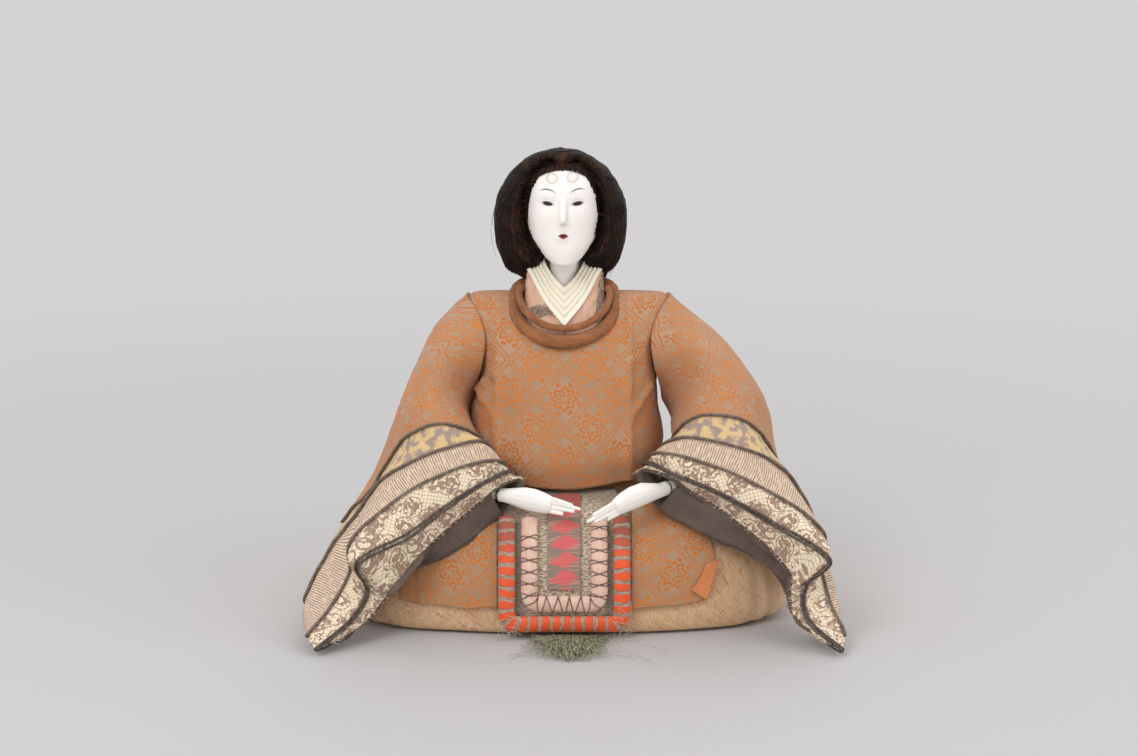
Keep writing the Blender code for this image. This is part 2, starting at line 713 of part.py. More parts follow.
def base_board():
    corners = []
    for turn in range(4):
        sign_x = 1 if turn in (0, 3) else -1
        sign_y = 1 if turn < 2 else -1
        centre = (sign_x * (BOARD_WIDTH / 2 - BOARD_CORNER), sign_y * (BOARD_DEPTH / 2 - BOARD_CORNER))
        for step in range(5):
            angle = (turn + step / 4) * math.pi / 2
            x = centre[0] + BOARD_CORNER * math.cos(angle)
            corners.append((x, centre[1] + BOARD_CORNER * math.sin(angle), 0))
    extruded("base_board", corners, (0, 0, BOARD_HEIGHT), ((0.42, 0.27, 0.14), 0.7))


def straw_core():
    angles = np.arange(30) * 2 * math.pi / 30
    rings = []
    for height in np.linspace(BOARD_HEIGHT + GAP, CORE_TOP, 3):
        reach = core_radius_at(height) * (1 + STRAW_SHARE * np.cos(10 * angles))
        rings.append(np.stack([reach * np.cos(angles), reach * np.sin(angles), np.full(30, height)], axis=1))
    core = capped("straw_core", rings, ((0.62, 0.46, 0.22), 0.9))
    neck_bore = column("neck_bore", NECK_PEG_RADIUS + GAP, CORE_BORE_FLOOR, CORE_TOP + CLOTH)
    combined(core, neck_bore, "DIFFERENCE")
    side = [(reach * CORE_RADIUS * 2, WIRE_SETBACK, WIRE_HEIGHT) for reach in (-1, 1)]
    combined(core, tube("wire_bore", side, WIRE_RADIUS + GAP, 12, None), "DIFFERENCE")


def core_bindings():
    for name, share in BINDING_SHARES.items():
        low = share * CORE_TOP
        inner = core_radius_at(low) * (1 + STRAW_SHARE) + GAP
        rings = []
        for reach in (inner + BINDING_DEPTH, inner):
            ring = oval(reach, reach, reach, 2, 20)
            rings.append([ring + (0, 0, low), ring + (0, 0, low + BINDING_HEIGHT)])
        walled(name, rings[0], rings[1], ((0.55, 0.36, 0.18), 0.8))


def hand_frame(wrist_shares, reach_shares):
    """Wrist, direction of the hand and its upward and sideways axes."""
    wrist = placed(wrist_shares, SLEEVE_REACH, SLEEVE_DEPTH, SLEEVE_RISE)
    tip = wrist + placed(reach_shares, HAND_LENGTH)
    along = unit(tip - wrist)
    up = unit(np.array((0, 0, 1)) - along[2] * along)
    return wrist, tip, along, up, np.cross(along, up)


def arm_path(arm_shares, wrist_shares, reach_shares, end):
    wrist, _, along, _, _ = hand_frame(wrist_shares, reach_shares)
    controls = list(placed(arm_shares, SLEEVE_REACH, SLEEVE_DEPTH, SLEEVE_RISE))
    controls += [wrist - along * FOREARM_STRAIGHT]
    count = len(controls)
    path = list(blended(controls, np.linspace(0, count - 1, 2 * count - 1)))
    return path + [wrist - along * (FOREARM_STRAIGHT + end) / 2, wrist - along * end]


def arms():
    sides = {"right": (RIGHT_ARM_SHARES, RIGHT_WRIST_SHARES, RIGHT_REACH_SHARES)}
    sides["left"] = (LEFT_ARM_SHARES, LEFT_WRIST_SHARES, LEFT_REACH_SHARES)
    ends = {}
    for side, shares in sides.items():
        wrist, _, along, up, _ = hand_frame(*shares[1:])
        path = arm_path(*shares, CLOTH)
        taper = np.linspace(1, 0.62, len(path))[:, None] * (ARM_RADIUS, ARM_RADIUS)
        wrap = capped(side + "_arm_wrap", tube_rings(path, taper, 9), ((0.75, 0.70, 0.60), 0.95))
        start = np.array((math.copysign(CORE_RADIUS * 2, path[0][0]), WIRE_SETBACK, WIRE_HEIGHT))
        bore = [start] + arm_path(*shares, WRIST_SOCKET - CLOTH)
        combined(wrap, tube("bore", bore, WIRE_RADIUS + GAP * 2, 6, None), "DIFFERENCE")
        socket = [wrist - along * WRIST_SOCKET, wrist + along * CLOTH]
        combined(wrap, tube("socket", socket, HAND_PEG_RADIUS + GAP, 12, None, up), "DIFFERENCE")
        ends[side] = arm_path(*shares, WRIST_SOCKET + GAP + GAP)
    inner = [(reach * CORE_RADIUS * 2, WIRE_SETBACK, WIRE_HEIGHT) for reach in (-1, 1)]
    path = np.concatenate([ends["right"][::-1], inner, ends["left"]])
    tube("arm_wire", path, WIRE_RADIUS, 6, ((0.45, 0.42, 0.38), 0.35, 0.9))


def torso_rings(inset, columns=30):
    """Rings of the torso, drawn in by an inset, from the hem to the shoulders."""
    rings = []
    shares = blended(TORSO_SHARES, np.linspace(0, len(TORSO_SHARES) - 1, 9))
    for height, wide, front, back in shares:
        ring = oval(
            TORSO_HALF_WIDTH * wide - inset,
            TORSO_FRONT * front - inset,
            TORSO_BACK * back - inset,
            TORSO_CORNER,
            columns,
        )
        ring[:, 0] *= np.where(ring[:, 0] > 0, TORSO_LEFT_SHARE, 1)
        ring[:, 2] = SHOULDER_HEIGHT * height - inset * np.clip(height * 8 - 7, 0, 1)
        rings.append(ring)
    rings[0][:, 2] += HEM_RISE * (rings[0][:, 0] / TORSO_HALF_WIDTH) ** 2
    return np.array(rings)


def neckline():
    """The neckline roll's loop, its middle and the direction it faces."""
    half = placed(ROLL_SHARES, TORSO_HALF_WIDTH, TORSO_FRONT, SHOULDER_HEIGHT)
    loop = blended(mirrored_loop(half), np.arange(0, 12, 0.6), closed=True)
    facing = unit(np.array((0, half[-1][2] - half[0][2], half[0][1] - half[-1][1])))
    return loop, loop.mean(axis=0), facing


def torso():
    loop, middle, facing = neckline()
    outer = torso_rings(0)
    inner = torso_rings(CLOTH)
    inner[0, :, 2] = outer[0, :, 2] - CLOTH
    bodice = capped("bodice", outer, (BROCADE, 0.7))
    hollow = capped("hollow", inner, None)
    combined(bodice, hollow, "DIFFERENCE")
    opening = extruded("opening", loop - facing * COLLAR_REACH / 2, facing * COLLAR_REACH * 2)
    combined(bodice, opening, "DIFFERENCE")
    rim = looped_tube("rim", loop, (ROLL_RADIUS + GAP, ROLL_RADIUS + GAP), 8, None, facing)
    combined(bodice, rim, "DIFFERENCE")
    side = [(reach * TORSO_HALF_WIDTH * 2, WIRE_SETBACK, WIRE_HEIGHT) for reach in (-1, 1)]
    combined(bodice, tube("armhole", side, ARMHOLE_RADIUS, 12, None), "DIFFERENCE")

    rings = torso_rings(CLOTH + GAP, 15)
    rings[0] = rings[1] * (WADDING_FLOOR_SHARE, WADDING_FLOOR_SHARE, 0)
    rings[0, :, 2] = WADDING_FLOOR
    padding = capped("body_padding", rings, ((0.80, 0.75, 0.66), 1.0))
    wide = middle + (loop - middle) * NECK_ROOM_SHARE
    lowered = wide - facing * (ROLL_RADIUS * 2 + GAP)
    combined(padding, extruded("neck_cut", lowered, facing * COLLAR_REACH * 2), "DIFFERENCE")
    combined(padding, column("core_bore", WADDING_BORE, WADDING_FLOOR / 2, CORE_TOP * 2, 32), "DIFFERENCE")
    combined(padding, tube("wire_way", side, WIRE_WAY_RADIUS, 12, None), "DIFFERENCE")


def neck_rolls():
    loop, _, facing = neckline()
    thread = ((0.45, 0.20, 0.12), 0.75)
    looped_tube("neckline_roll", loop, (ROLL_RADIUS, ROLL_RADIUS), 8, thread, facing)
    half = placed(INNER_ROLL_SHARES, TORSO_HALF_WIDTH, TORSO_FRONT, SHOULDER_HEIGHT)
    controls = np.concatenate([half, (half * (-1, 1, 1))[-2::-1]])
    path = blended(controls, np.linspace(0, len(controls) - 1, 17))
    tube("neckline_inner_roll", path, INNER_ROLL_RADIUS, 8, ((0.40, 0.22, 0.15), 0.75), facing)


def collar_edges():
    reach = (COLLAR_REACH, COLLAR_REACH, SHOULDER_HEIGHT)
    at = np.linspace(0, len(COLLAR_OUTER_SHARES) - 1, 11)
    return blended(placed(COLLAR_OUTER_SHARES, *reach), at), blended(placed(COLLAR_NECK_SHARES, *reach), at)


def collar():
    outer, neck = (mirrored_loop(edge) for edge in collar_edges())
    surface = np.array([outer, neck])
    normals = grid_normals(surface, towards=(0, 0, 1))
    for layer in range(COLLAR_LAYERS):
        low, high = layer / COLLAR_LAYERS, (layer + 1) / COLLAR_LAYERS
        tucked = 0.4 / COLLAR_LAYERS
        rows = [(low - tucked, 1.5) if layer else (low, 0.9), (high, 0.0)]
        top, under = [], []
        for share, depth in rows:
            line = outer + (neck - outer) * share
            facing = unit(normals[0] + (normals[1] - normals[0]) * share)
            top.append(line - facing * COLLAR_STEP * depth)
            under.append(top[-1] - facing * COLLAR_PAPER)
        walled(f"collar_layer_{layer + 1}", top, under, ((0.86, 0.78, 0.60), 0.8))


def yokes():
    """The under-robe's two panels between the collar and the neckline roll."""
    _, middle, facing = neckline()
    outer_edge, neck_edge = collar_edges()
    under_collar = grid_normals(np.array([outer_edge, neck_edge]), closed=False, towards=(0, 0, 1))[0]
    half = placed(ROLL_SHARES, TORSO_HALF_WIDTH, TORSO_FRONT, SHOULDER_HEIGHT)
    at = np.linspace(0, len(half) - 1, len(outer_edge))
    rim = blended(half, at)
    inward = unit(middle - rim)
    foot = rim + inward * (ROLL_RADIUS + GAP * 5) - facing * ROLL_RADIUS / 2
    head = outer_edge + (neck_edge - outer_edge) * YOKE_INNER_SHARE
    head = head - under_collar * (COLLAR_STEP + COLLAR_PAPER + GAP)
    surface = np.array([head + (foot - head) * share for share in np.linspace(0, 1, 4)])
    normals = grid_normals(surface, closed=False, towards=(0, 0, 1))
    for side, sign in (("left", 1), ("right", -1)):
        top, under = surface.copy(), surface - normals * CLOTH
        for face in (top, under):
            face[:, [0, -1], 0] = GAP
            face *= (sign, 1, 1)
        walled(side + "_yoke", top, under, ((0.55, 0.24, 0.17), 0.8), closed=False)


def neck_peg():
    wood = ((0.50, 0.33, 0.17), 0.6)
    column("neck_peg", NECK_PEG_RADIUS, CORE_BORE_FLOOR + GAP, CORE_TOP + NECK_PEG_REACH, 24, paint=wood)


def head_level(share):
    """Height of a share on the head's scale, which meets the top of the core at the foot share."""
    return CORE_TOP + HEAD_TALL * (share - HEAD_FOOT_SHARE) / (1 - HEAD_FOOT_SHARE)


def head_rings(growth=0.0, columns=32):
    rings = []
    for height, slope, wide, front, back in HEAD_SHARES:
        ring = oval(
            HEAD_HALF_WIDTH * wide + growth,
            HEAD_FRONT * front + growth,
            HEAD_BACK * back + growth,
            2.0,
            columns,
        )
        ring[:, 0] += HEAD_SHIFT * np.interp(height, JAW_SHARES, (0, 1))
        rise = growth * np.interp(height, CHEEK_SHARES, (-1, 1))
        ring[:, 2] = head_level(height) + slope * ring[:, 1] + rise
        rings.append(ring)
    rings = np.array(rings)
    if growth:
        return rings
    x, y = rings[..., 0] - HEAD_SHIFT, rings[..., 1]
    level = HEAD_FOOT_SHARE + (rings[..., 2] - CORE_TOP) * (1 - HEAD_FOOT_SHARE) / HEAD_TALL
    ahead = np.clip(-y / HEAD_FRONT * 3 - 1.6, 0, 1)
    push = np.zeros_like(x)
    for share, amount in NOSE_SHARES:
        near = np.exp(-(((level - share) / FEATURE_SHARE) ** 2) - (x / NOSE_WIDTH) ** 2)
        push += near * NOSE_DEPTH * amount
    for sign in (-1, 1):
        across = (x - sign * HEAD_HALF_WIDTH * EYE_SPREAD_SHARE) / (NOSE_WIDTH * 2)
        push -= np.exp(-(across**2) - ((level - EYE_SHARE) / FEATURE_SHARE) ** 2) * EYE_HOLLOW
    lips = (x / (NOSE_WIDTH * 1.4)) ** 2 + ((level - LIP_SHARE) / FEATURE_SHARE) ** 2
    push += np.exp(-lips) * LIP_DEPTH
    rings[..., 1] -= push * ahead
    return rings


def head():
    made = capped("head", head_rings(), ((0.88, 0.86, 0.84), 0.4))
    socket = column("socket", NECK_PEG_RADIUS + GAP, CORE_TOP, CORE_TOP + NECK_PEG_REACH + GAP)
    combined(made, socket, "DIFFERENCE")


def hair():
    dark = ((0.03, 0.018, 0.014), 0.45)
    rings = []
    for height, wide, front, back in HAIR_SHARES:
        ring = oval(HAIR_HALF_WIDTH * wide, HAIR_FRONT * front, HAIR_BACK * back, 2.3, 26)
        ring[:, 0] += HAIR_SHIFT
        ring[:, 2] = head_level(height)
        rings.append(ring)
    cap = capped("hair_cap", rings, dark)
    combined(cap, capped("head_room", head_rings(HAIR_FIT, 24), None), "DIFFERENCE")
    half = [(x * HEAD_HALF_WIDTH, -HAIR_HALF_WIDTH * 2, head_level(z)) for x, z in HAIRLINE_SHARES]
    outline = np.array(half + [(-x, y, z) for x, y, z in half[-2::-1]]) + (HEAD_SHIFT, 0, 0)
    combined(cap, extruded("face_opening", outline, (0, HAIR_HALF_WIDTH * 2 - CLOTH * 4, 0)), "DIFFERENCE")
    floor, ceiling = (head_level(share) for share in NECK_SPACE_SHARES)
    room = oval(HEAD_HALF_WIDTH * 1.19, HEAD_FRONT * 1.3, HEAD_BACK * 0.86, 2, 32)
    combined(cap, extruded("neck_room", room + (0, 0, floor), (0, 0, ceiling - floor)), "DIFFERENCE")
    nape = oval(HAIR_HALF_WIDTH * 2, HAIR_BACK, HAIR_BACK, 8, 12) + (0, HAIR_BACK * 1.5, floor)
    combined(cap, extruded("tail_room", nape, (0, 0, TAIL_TOP + GAP - floor)), "DIFFERENCE")

    rings = tail_rings(TAIL_SHARES)
    capped("hair_tail", rings, dark)
    heights = [share[0] for share in TAIL_SHARES]
    places = np.interp(
        [-TIE_SHARE - TIE_HEIGHT / TAIL_TOP, -TIE_SHARE], [-height for height in heights], range(len(heights))
    )
    shares = blended(TAIL_SHARES, places)
    cord = ((0.80, 0.74, 0.62), 0.7)
    walled("hair_tie", tail_rings(shares, GAP + TIE_DEPTH), tail_rings(shares, GAP), cord)


def tail_rings(shares, growth=0.0):
    rings = []
    for height, wide, setback, depth in shares:
        half = TAIL_DEPTH * depth / 2
        ring = oval(TAIL_HALF_WIDTH * wide + growth, half + growth, half + growth, 2.6, 18)
        rings.append(ring + (0, TAIL_SETBACK * setback + half, TAIL_TOP * height))
    return np.array(rings)


def centred(made, point):
    """Moves the origin to a point and leaves the shape where it is."""
    made.data.transform(Matrix.Translation(-Vector(point)))
    made.location = point


def hands():
    skin = ((0.86, 0.83, 0.80), 0.4)
    sides = {"right": (RIGHT_WRIST_SHARES, RIGHT_REACH_SHARES, RIGHT_PALM_SHARES, RIGHT_FINGER_SHARES)}
    sides["left"] = (LEFT_WRIST_SHARES, LEFT_REACH_SHARES, LEFT_PALM_SHARES, LEFT_FINGER_SHARES)
    for side, (wrist_shares, reach_shares, palm_shares, finger_shares) in sides.items():
        wrist, tip, along, up, beside = hand_frame(wrist_shares, reach_shares)
        length = np.linalg.norm(tip - wrist)
        sections = blended(palm_shares, np.linspace(0, len(palm_shares) - 1, 8))
        places = sections[:, :1] * length + GAP
        path = wrist + along * places + up * PALM_HALF_WIDTH * sections[:, 3:]
        radii = sections[:, 1:3] * PALM_HALF_WIDTH
        hand = capped(side + "_hand", tube_rings(path, radii, 12, up), skin)
        for number, (root, middle, reach, rise) in enumerate(finger_shares):
            places = [(FINGER_ROOT_SHARE - 0.1, root), (FINGER_ROOT_SHARE, root)]
            places += [(FINGER_MIDDLE_SHARE, middle), (reach, rise)]
            line = [wrist + along * length * s + up * PALM_HALF_WIDTH * r for s, r in places]
            curve = blended(line, np.linspace(0, 3, 6))
            thickness = np.linspace(1, 0.6, 6)[:, None] * (FINGER_RADIUS, FINGER_RADIUS)
            combined(hand, capped(f"finger_{number}", tube_rings(curve, thickness, 6, up), None), "UNION")
        socket = [wrist - along * CLOTH, wrist + along * WRIST_SOCKET]
        combined(hand, tube("socket", socket, HAND_PEG_RADIUS + GAP, 12, None, up), "DIFFERENCE")
        peg = [wrist - along * (WRIST_SOCKET - GAP), wrist + along * (WRIST_SOCKET - GAP)]
        stick = tube(side + "_hand_peg", peg, HAND_PEG_RADIUS, 12, ((0.52, 0.35, 0.18), 0.6), up)
        centred(hand, wrist)
        centred(stick, wrist)


def sleeve_piece(name, grid, normals, rows, depths, paint, drawn_share=0.0):
    """One cloth of a sleeve: rows of the shared grid, sunk by its depths, with its lower tip drawn in."""
    sunk = np.asarray(depths, float)[:, None, None] * LAYER
    outer = grid[rows] - normals[rows] * sunk
    middle = (outer[:, TIP_COLUMN - 2] + outer[:, TIP_COLUMN + 2]) / 2
    for step, share in ((-1, drawn_share / 2), (0, drawn_share), (1, drawn_share / 2)):
        outer[:, TIP_COLUMN + step] += (middle - outer[:, TIP_COLUMN + step]) * share
    inner = outer - normals[rows] * SLEEVE_CLOTH
    walled(name, outer, inner, paint)


def sleeve(side, table):
    """The outer sleeve and the cloths that show in steps at its mouth, on one grid."""
    rings = np.array([placed(ring, SLEEVE_REACH, SLEEVE_DEPTH, SLEEVE_RISE) for ring in table.values()])
    columns = np.arange(0, rings.shape[1], 1 / RING_SAMPLES)
    rings = np.stack([blended(ring, columns, closed=True) for ring in rings])
    names = list(table)
    places = [0, 0.6, 1.2, 1.8, 2.4]
    edges = {"sleeve edge": 3}
    for number in range(3, len(names)):
        step = np.linalg.norm(rings[number] - rings[number - 1], axis=1).mean()
        share = min(0.75, TUCK / step)
        places += [number - share, number]
        edges[names[number]] = number
    places = sorted(set(places))
    grid = blended(rings, places)
    normals = grid_normals(grid)
    row_of = {name: places.index(number) for name, number in edges.items()}
    last, shown = row_of["sleeve edge"], 0
    sleeve_piece(side + "_sleeve", grid, normals, range(last + 1), [0] * (last + 1), (BROCADE, 0.7))
    for name, edge, colour, roughness in CUFFS:
        final = row_of[edge]
        rows = list(range(last - 1, final + 1))
        drawn = DRAWN_SHARES.get(name, 0)
        shown_next = shown + 1 if drawn else STEP_SHARE
        depths = [shown + HIDDEN_SHARE] * 2 + [shown_next] * (len(rows) - 2)
        sleeve_piece(f"{side}_{name}", grid, normals, rows, depths, (colour, roughness), drawn)
        last, shown = final, shown_next


def lap_reach_at(height_share):
    fine = blended(LAP_SHARES, np.linspace(0, len(LAP_SHARES) - 1, 81))
    return np.interp(height_share, fine[:, 1], fine[:, 0])


def lap_rings(inset, columns=36):
    """Rings of the lap drawn in by an inset, from the hem to the hole at the core."""
    rings = []
    for reach, height in blended(LAP_SHARES, np.linspace(0, len(LAP_SHARES) - 1, 9)):
        ring = oval(LAP_HALF_WIDTH * reach, LAP_FRONT * reach, LAP_BACK * reach, LAP_CORNER, columns)
        ring[:, 2] = LAP_HEIGHT * height
        rings.append(ring)
    rings = np.array(rings)
    return rings - grid_normals(rings) * inset


def lap():
    outer, inner = lap_rings(0), lap_rings(CLOTH)
    inner[0, :, 2] = outer[0, :, 2]
    hole = oval(LAP_HOLE, LAP_HOLE, LAP_HOLE, 2, outer.shape[1])
    outer = np.concatenate([outer, [hole + (0, 0, LAP_HEIGHT)]])
    inner = np.concatenate([inner, [hole + (0, 0, LAP_HEIGHT - CLOTH)]])
    walled("under_skirt", outer, inner, ((0.60, 0.42, 0.24), 0.85))
    filling = lap_rings(CLOTH + GAP, 18)
    filling = filling[filling[:, 0, 2] > BOARD_HEIGHT]
    first = filling[0] * (0.98, 0.98, 0) + (0, 0, BOARD_HEIGHT + GAP)
    stuffing = capped("lap_stuffing", np.concatenate([[first], filling]), ((0.66, 0.56, 0.38), 1.0))
    combined(stuffing, column("core_bore", STUFFING_BORE, 0, LAP_HEIGHT * 2, 32), "DIFFERENCE")


def on_lap(across, up, lift):
    """A point on the lap's front, lifted off it along its normal."""
    step = CLOTH / 10

    def front(x, z):
        reach = lap_reach_at(z / LAP_HEIGHT)
        inside = np.clip(1 - (np.abs(x) / (LAP_HALF_WIDTH * reach)) ** LAP_CORNER, 0, 1)
        return -LAP_FRONT * reach * inside ** (1 / LAP_CORNER)

    depth = front(across, up)
    normal = unit(
        np.stack(
            [
                (front(across + step, up) - front(across - step, up)) / step / 2,
                -np.ones_like(depth),
                (front(across, up + step) - front(across, up - step)) / step / 2,
            ],
            axis=-1,
        )
    )
    return np.stack([across, depth, up], axis=-1) + normal * lift


def lap_cloth(name, corners, lift, paint, rows=7, columns=10):
    """A cloth lying on the lap's front, whose outline is given in four rows of two ends."""
    ends = blended(corners, np.linspace(0, len(corners) - 1, rows))
    span = np.linspace(0, 1, columns)
    across = ends[:, 0, 0][:, None] * (1 - span) + ends[:, 1, 0][:, None] * span
    up = ends[:, 0, 1][:, None] * (1 - span) + ends[:, 1, 1][:, None] * span
    outer, inner = on_lap(across, up, lift + CLOTH), on_lap(across, up, lift)
    walled(name, outer, inner, paint, closed=False)


def flaps():
    """The outer robe's two lower fronts on the lap, and the corner that shows its lining."""
    sizes = (LAP_HALF_WIDTH, LAP_HEIGHT)
    lap_cloth("right_front_flap", placed(RIGHT_FLAP_SHARES, *sizes), FLAP_LIFT, (BROCADE, 0.7))
    lap_cloth("left_front_flap", placed(LEFT_FLAP_SHARES, *sizes), FLAP_LIFT, (BROCADE, 0.7))
    turned = placed(TURNED_SHARES, *sizes)
    lap_cloth("orange_lining", turned, FLAP_LIFT + CLOTH + GAP, ((0.75, 0.25, 0.10), 0.6), 4, 4)


def panel():
    wide = PANEL_HALF_WIDTH
    ends = [(PANEL_HEM_SHARE, PANEL_HEM), (1, PANEL_TOP), (1, (PANEL_TOP + PANEL_FOOT) / 2), (1, PANEL_FOOT)]
    backing = np.array([((-wide * share, height), (wide * share, height)) for share, height in ends])
    lap_cloth("panel_backing", backing, BACKING_LIFT, ((0.42, 0.33, 0.26), 0.85), 9, 9)
    rolls = (
        ("panel_red_roll", wide - RED_ROLL_WIDTH / 2, 0, RED_ROLL_WIDTH, RED_ROLL_DEPTH, (0.70, 0.06, 0.03)),
        ("panel_pink_roll", wide / 2 + CLOTH, 1, PINK_ROLL_WIDTH, PINK_ROLL_DEPTH, (0.65, 0.36, 0.26)),
    )
    for name, across, order, width, depth, colour in rolls:
        foot = PANEL_FOOT + RED_ROLL_WIDTH / 2 + order * (RED_ROLL_WIDTH + CLOTH)
        turn = width * 0.55
        half = [(across, PANEL_TOP + (foot - PANEL_TOP) * share / 3) for share in range(3)]
        half += [(across, foot + turn), (across - turn * 0.3, foot + turn * 0.3), (across - turn, foot)]
        half += [(across / 2 - turn / 2, foot), (0, foot)]
        line = np.array(half + [(-x, z) for x, z in half[-2::-1]])
        at = np.linspace(0, len(line) - 1, 21)
        line = blended(line, at)
        path = on_lap(line[:, 0], line[:, 1], ROLL_LIFT + depth / 2)
        lifted = on_lap(line[:, 0], line[:, 1], ROLL_LIFT + depth)
        rings = tube_rings(path, (depth / 2, width / 2), 8, lifted - path)
        capped(name, rings, (colour, 0.8))
    half = BAND_HALF_WIDTH
    low = PANEL_FOOT + RED_ROLL_WIDTH + PINK_ROLL_WIDTH + CLOTH * 4
    band = np.array([((-half, BAND_TOP), (half, BAND_TOP)), ((-half, low), (half, low))])
    lap_cloth("panel_centre_band", band, ROLL_LIFT, ((0.50, 0.12, 0.10), 0.8), 9, 5)


def tuft():
    """The silk tuft at the panel's foot, lying on the floor."""
    rings = []
    for share, wide, tall in TUFT_SHARES:
        half = TUFT_HEIGHT * tall / 2
        ring = oval(TUFT_HALF_WIDTH * wide, half, half, 2.6, 20)[:, [0, 2, 1]]
        rings.append(ring + (TUFT_SHIFT, -(TUFT_BACK + (TUFT_FRONT - TUFT_BACK) * share), half + GAP * 2))
    capped("panel_tuft", rings, ((0.23, 0.32, 0.17), 0.8))


def train():
    shares = blended(TRAIN_SHARES, np.linspace(0, len(TRAIN_SHARES) - 1, 11))
    span = np.linspace(-1, 1, 13)
    grid = []
    for height, wide, back, spread in shares:
        x = np.sin(span * math.pi / 2) * spread
        y = (1 - np.abs(x) ** LAP_CORNER) ** (1 / LAP_CORNER)
        row = [x * TRAIN_HALF_WIDTH * wide, y * TRAIN_BACK * back, np.full(len(span), TRAIN_TOP * height)]
        grid.append(np.stack(row, axis=1))
    grid = np.array(grid)
    normals = grid_normals(grid, closed=False, towards=(0, 1, 0))
    walled("back_train", grid + normals * CLOTH, grid, (BROCADE, 0.7), closed=False)


def main():
    for old in list(bpy.data.objects):
        bpy.data.objects.remove(old, do_unlink=True)
    base_board()
    straw_core()
    core_bindings()
    arms()
    neck_peg()
    head()
    hair()
    hands()
    torso()
    neck_rolls()
    collar()
    yokes()
    sleeve("right", RIGHT_SLEEVE_SHARES)
    sleeve("left", LEFT_SLEEVE_SHARES)
    lap()
    flaps()
    panel()
    tuft()
    train()


main()
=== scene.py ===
"""Looks of a seated festival doll of a court lady: brocade robes, combed hair, white face and hands."""

import math

import bmesh
import bpy
import numpy as np
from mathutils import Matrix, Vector


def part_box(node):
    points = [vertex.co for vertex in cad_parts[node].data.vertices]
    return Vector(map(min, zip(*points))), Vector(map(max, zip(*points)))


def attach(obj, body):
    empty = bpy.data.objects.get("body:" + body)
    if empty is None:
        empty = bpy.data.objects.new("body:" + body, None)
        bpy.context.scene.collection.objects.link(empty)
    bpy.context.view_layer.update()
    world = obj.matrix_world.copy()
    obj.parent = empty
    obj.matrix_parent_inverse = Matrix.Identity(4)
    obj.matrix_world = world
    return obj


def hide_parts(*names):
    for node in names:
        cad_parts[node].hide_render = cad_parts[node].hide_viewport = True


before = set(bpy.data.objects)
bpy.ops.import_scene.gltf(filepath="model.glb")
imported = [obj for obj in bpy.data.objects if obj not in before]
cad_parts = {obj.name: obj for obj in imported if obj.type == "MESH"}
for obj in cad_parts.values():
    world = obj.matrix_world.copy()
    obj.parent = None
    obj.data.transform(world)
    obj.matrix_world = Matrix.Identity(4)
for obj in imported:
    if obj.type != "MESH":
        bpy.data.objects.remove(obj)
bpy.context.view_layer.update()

# Cloth and fits
CLOTH = 0.0008
GAP = 0.0003
SLEEVE_CLOTH = 0.0005
LAYER = SLEEVE_CLOTH + GAP
COLLAR_STEP = 0.0009
COLLAR_PAPER = 0.0006

# Base board and straw core
CORE_TOP = 0.136

# Torso
SHOULDER_HEIGHT = 0.143
TORSO_HALF_WIDTH = 0.0435
TORSO_FRONT = 0.044
TORSO_BACK = 0.030
TORSO_LEFT_SHARE = 1.08
TORSO_CORNER = 3.0
HEM_RISE = 0.008

# Neckline and collar
ROLL_RADIUS = 0.003
INNER_ROLL_RADIUS = 0.0016
COLLAR_REACH = 0.030

# Head and hair
HEAD_TALL = 0.0685
HEAD_HALF_WIDTH = 0.0168
HEAD_FRONT = 0.0225
HEAD_BACK = 0.0195
HEAD_SHIFT = -0.0008
NOSE_DEPTH = 0.0030
NOSE_WIDTH = 0.0022
EYE_HOLLOW = 0.0011
LIP_DEPTH = 0.0011
HAIR_HALF_WIDTH = 0.0305
HAIR_FRONT = 0.018
HAIR_BACK = 0.027
HAIR_SHIFT = -0.0018
TAIL_HALF_WIDTH = 0.023
TAIL_SETBACK = 0.0685
TAIL_DEPTH = 0.0073
TAIL_TOP_SHARE = 0.27
TIE_HEIGHT = 0.005
TIE_DEPTH = 0.0011
TAIL_TOP = CORE_TOP + HEAD_TALL * TAIL_TOP_SHARE

# Sleeves
SLEEVE_REACH = 0.120
SLEEVE_DEPTH = 0.100
SLEEVE_RISE = 0.143

# Lap
LAP_HALF_WIDTH = 0.104
LAP_FRONT = 0.066
LAP_BACK = 0.059
LAP_HEIGHT = 0.060
LAP_CORNER = 3.4
LAP_HOLE = 0.0195

# Front panel
FLAP_LIFT = 0.0009
PANEL_HALF_WIDTH = 0.0292
PANEL_TOP = 0.0485
PANEL_HEM = 0.0550
PANEL_HEM_SHARE = 0.78
PANEL_FOOT = 0.0040
BACKING_LIFT = 0.0009
ROLL_LIFT = 0.0023
RED_ROLL_WIDTH = 0.0076
RED_ROLL_DEPTH = 0.0046
PINK_ROLL_WIDTH = 0.0074
PINK_ROLL_DEPTH = 0.0040
BAND_HALF_WIDTH = 0.0072
BAND_TOP = 0.0560
TUFT_FRONT = 0.104
TUFT_BACK = 0.0704
TUFT_HALF_WIDTH = 0.017
TUFT_HEIGHT = 0.0042
TUFT_SHIFT = 0.0045

# Train
TRAIN_HALF_WIDTH = 0.107
TRAIN_BACK = 0.071
TRAIN_TOP = 0.126

# Torso rings: height, half-width, front and back, as shares of the torso's sizes
TORSO_SHARES = (
    (0.427, 0.94, 0.93, 1.00),
    (0.524, 0.965, 1.00, 0.95),
    (0.664, 0.92, 0.91, 0.85),
    (0.804, 0.92, 0.77, 0.74),
    (0.895, 0.955, 0.61, 0.63),
    (0.951, 0.985, 0.42, 0.53),
    (0.982, 1.0, 0.28, 0.43),
    (0.998, 0.97, 0.15, 0.30),
)

